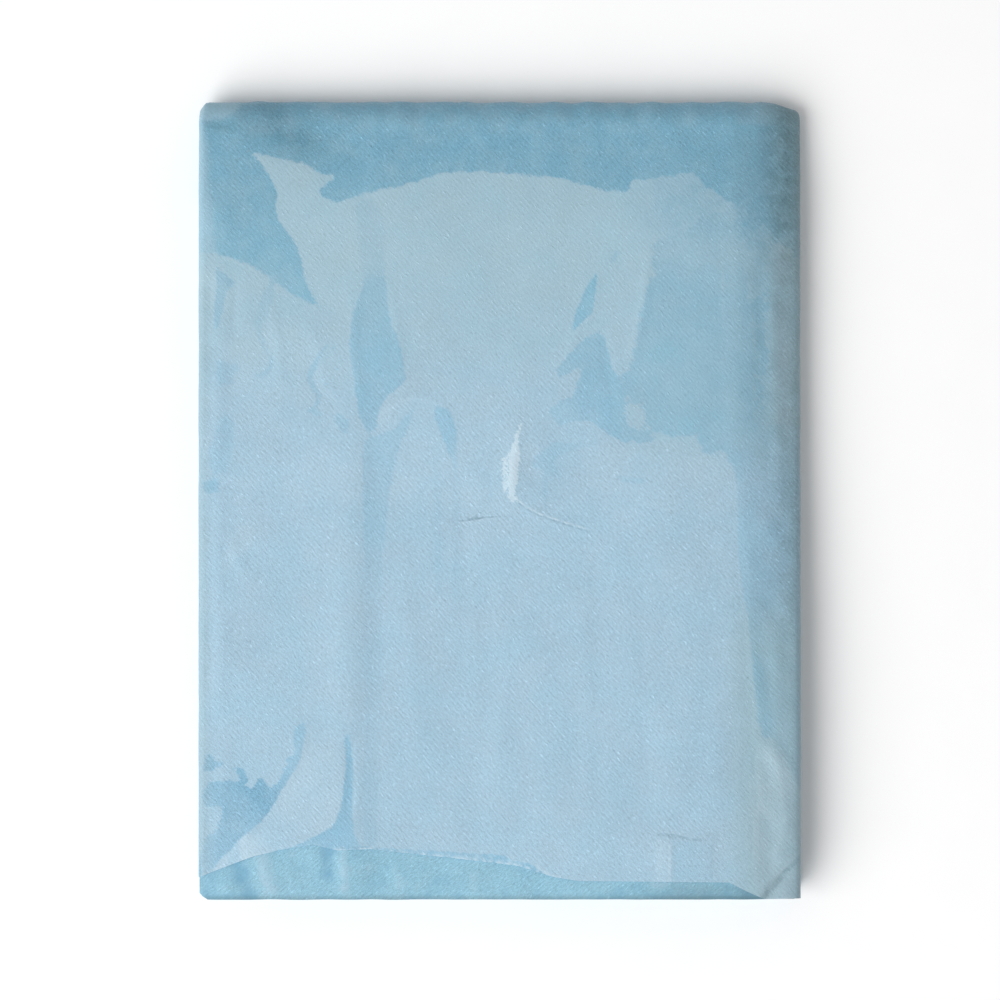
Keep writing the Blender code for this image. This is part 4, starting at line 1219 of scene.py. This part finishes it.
def makeOuterCloth():
    material, tree, place = startMaterial("outer cloth")
    dashes = useGroup(embossing, Vector=place, Pitch=cloth["pitch"], Turn=cloth["turn"])
    uneven = useGroup(mottle, Vector=place)
    grain = dashes["Grain"]
    patches = []
    for name in ("pressed", "lifted", "glint"):
        reach, tone, fray, soft = readValues(tree, name + "Reach", name + "Tone",
                                             name + "Fray", name + "Soft")
        patches.append(useGroup(plyContact, Vector=place, Reach=reach, Tone=tone, Fray=fray,
                                Soft=soft, Grain=grain)["Mask"])
    pressed, lifted, glint = patches
    deep, veil, upper, shade, edge, cutEdgeHighlight, lineSide, lineTone, lineWide = readValues(
        tree, "deep", "veil", "upper", "shade", "edge", "cutEdgeHighlight", "lineSide", "lineTone",
        "lineWide")
    pressedColour = mixColour(deep, cloth["pressed"], cloth["deep"])
    colour = mixColour(lifted, cloth["free"], cloth["lifted"])
    blotchy = mapRange(noise(place, 0.14, 5.0, 0.72), 0.34, 0.66, 0.6, 1.4)
    colour = mixColour(times(veil, blotchy), colour, pressedColour)
    colour = mixColour(pressed, colour, pressedColour)
    colour = tinted(colour, mixColour(upper, noTint, cloth["upper tint"]))
    colour = tinted(colour, uneven["Factor"])
    # Painted shade from the shade values
    colour = tinted(colour, mixColour(times(shade, blotchy), noTint, cloth["shade"]))
    # Painted shade on the side folds
    colour = mixColour(times(edge, cloth["edge shade share"]), colour, cloth["folded edge shade"])
    # The embossing is flatter where the cloth is greyer, towards the top
    strength = mapRange(upper, 0.0, 1.0, cloth["grain"], cloth["grain"] * cloth["upper grain"])
    strength = timesPlus(times(pressed, deep), cloth["grain"] * cloth["tight grain"], strength)
    colour = addGrain(colour, grain, timesPlus(shade, cloth["shaded grain"], strength))
    broken = mapRange(noise(place, 0.35, 3.0), 0.42, 0.60)
    tone = times(lineTone, mapRange(broken, 0.0, 1.0, 0.35, 1.0))
    line = useGroup(fineCrease, Side=lineSide, Tone=tone, Wide=lineWide, Grain=grain)["Line"]
    # Fine creases: painted highlight on the line and painted shade beside it
    colour = mixColour(mapRange(line, 0.0, 1.0, 0.0, 0.4), colour, cloth["white"])
    colour = mixColour(mapRange(line, 0.0, -1.0, 0.0, 0.5), colour, cloth["painted crease shade"])
    # Painted highlight along the cut hem
    rim = times(times(cutEdgeHighlight, broken), cloth["rim highlight share"])
    colour = mixColour(rim, colour, cloth["white"])
    # Painted highlight on the glint patches
    colour = mixColour(times(glint, cloth["glint share"]), colour, cloth["white"])
    finishMaterial(tree, colour, dashes["Height"], cloth["roughness"],
                   timesPlus(line, cloth["line relief"], dashes["Height"]), cloth["emboss"],
                   uneven["Fibre"], cloth["fibre"])
    return material


def makeInnerCloth(name, colour, degrees, emboss):
    # The dashes slant the other way on the back panel
    material, tree, place = startMaterial(name)
    crease, shade = readValues(tree, "crease", "shade")
    own = lining
    dashes = useGroup(embossing, Vector=place, Pitch=own["pitch"], Turn=math.radians(degrees))
    uneven = useGroup(mottle, Vector=place, Slow=own["unevenness"], Blotch=own["unevenness"])
    colour = addGrain(tinted(colour, uneven["Factor"]), dashes["Grain"], own["grain"])
    # Paler where the crease values rise and deeper where they fall; near the back sheet's front edge
    # they carry painted shade
    relief = timesPlus(centred(place, 0.16, 4.0, 0.65), own["blotches"], crease)
    lifted = mapRange(relief, 0.05, 0.5, 0.0, own["lifted"])
    sunk = mapRange(relief, -0.05, -0.5, 0.0, own["sunk"])
    colour = mixColour(sunk, mixColour(lifted, colour, cloth["lifted"]), cloth["deep"])
    # Painted shade from the shade values
    colour = tinted(colour, mixColour(shade, noTint, own["shade"]))
    finishMaterial(tree, colour, dashes["Height"], own["roughness"], dashes["Height"], emboss,
                   uneven["Fibre"], own["fibre"])
    return material


def makeFloorMaterial():
    material = bpy.data.materials.new("pale floor")
    material.use_nodes = True
    tree = material.node_tree
    shader = tree.nodes["Principled BSDF"]
    coordinates = tree.nodes.new("ShaderNodeTexCoord")
    faint = noise(coordinates.outputs["Object"], 40.0)
    connect(mixColour(faint, (0.93, 0.93, 0.93), (0.95, 0.95, 0.95)),
            shader.inputs["Base Color"])
    shader.inputs["Roughness"].default_value = 0.9
    shader.inputs["Specular IOR Level"].default_value = 0.1
    return material


studio = {
    "cameraHeight": 2.518,
    "frameWidth": 0.398,
    "frameHeight": 0.017,
    "sensor": 36.0,
    "keyFrom": (-0.80, -0.55),
    "keyElevation": math.radians(42),
    "keyDistance": 4.5,
    "keySize": 4.5,
    "keyPower": 224.0,
    "world": 0.48,
    "floorDrop": -0.0001,
}


def makeStudio():
    own = studio
    bpy.ops.object.select_all(action="DESELECT")
    bpy.ops.mesh.primitive_plane_add(size=4.0)
    floor = bpy.context.active_object
    floor.name = "floor"
    floor.data.transform(Matrix.Translation((0.0, 0.0, own["floorDrop"])))
    floor.data.materials.append(makeFloorMaterial())

    world = bpy.data.worlds.new("studio")
    bpy.context.scene.world = world
    world.use_nodes = True
    background = world.node_tree.nodes["Background"]
    background.inputs["Color"].default_value = (1.0, 1.0, 1.0, 1.0)
    background.inputs["Strength"].default_value = own["world"]

    flat = np.array(own["keyFrom"]) / math.hypot(*own["keyFrom"])
    reach = own["keyDistance"] * math.cos(own["keyElevation"])
    height = own["keyDistance"] * math.sin(own["keyElevation"])
    bpy.ops.object.light_add(type="AREA", location=(flat[0] * reach, flat[1] * reach, height))
    key = bpy.context.active_object
    key.name = "key light"
    key.data.shape = "DISK"
    key.data.size = own["keySize"]
    key.data.energy = own["keyPower"]
    key.rotation_euler = (-key.location).to_track_quat("-Z", "Y").to_euler()

    camera = bpy.data.cameras.new("camera")
    holder = bpy.data.objects.new("camera", camera)
    bpy.context.scene.collection.objects.link(holder)
    holder.location = (0.0, 0.0, own["cameraHeight"])
    camera.sensor_width = own["sensor"]
    camera.lens = own["sensor"] * (own["cameraHeight"] - own["frameHeight"]) / own["frameWidth"]
    bpy.context.scene.camera = holder
    bpy.context.scene.view_settings.view_transform = "Standard"


def dress(piece, own):
    material = makeInnerCloth(*own["cloth"]) if "cloth" in own else makeOuterCloth()
    piece.data.materials.clear()
    piece.data.materials.append(material)
    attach(piece, "root")
    if "node" in own:
        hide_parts(own["node"])
    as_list(own["rests on"])


made = []
for own, make in ((frontSheet, makeFrontSheet), (backSheet, makeBackSheet),
                  (tieEnd, makeTieEnd), (foldedLayers, makeFoldedLayers),
                  (cutPlies, makeCutPlies)):
    print("piece", own["name"])
    made.append((make(), own))

print("studio")
makeStudio()

print("materials and sheets")
for piece, own in made:
    dress(piece, own)
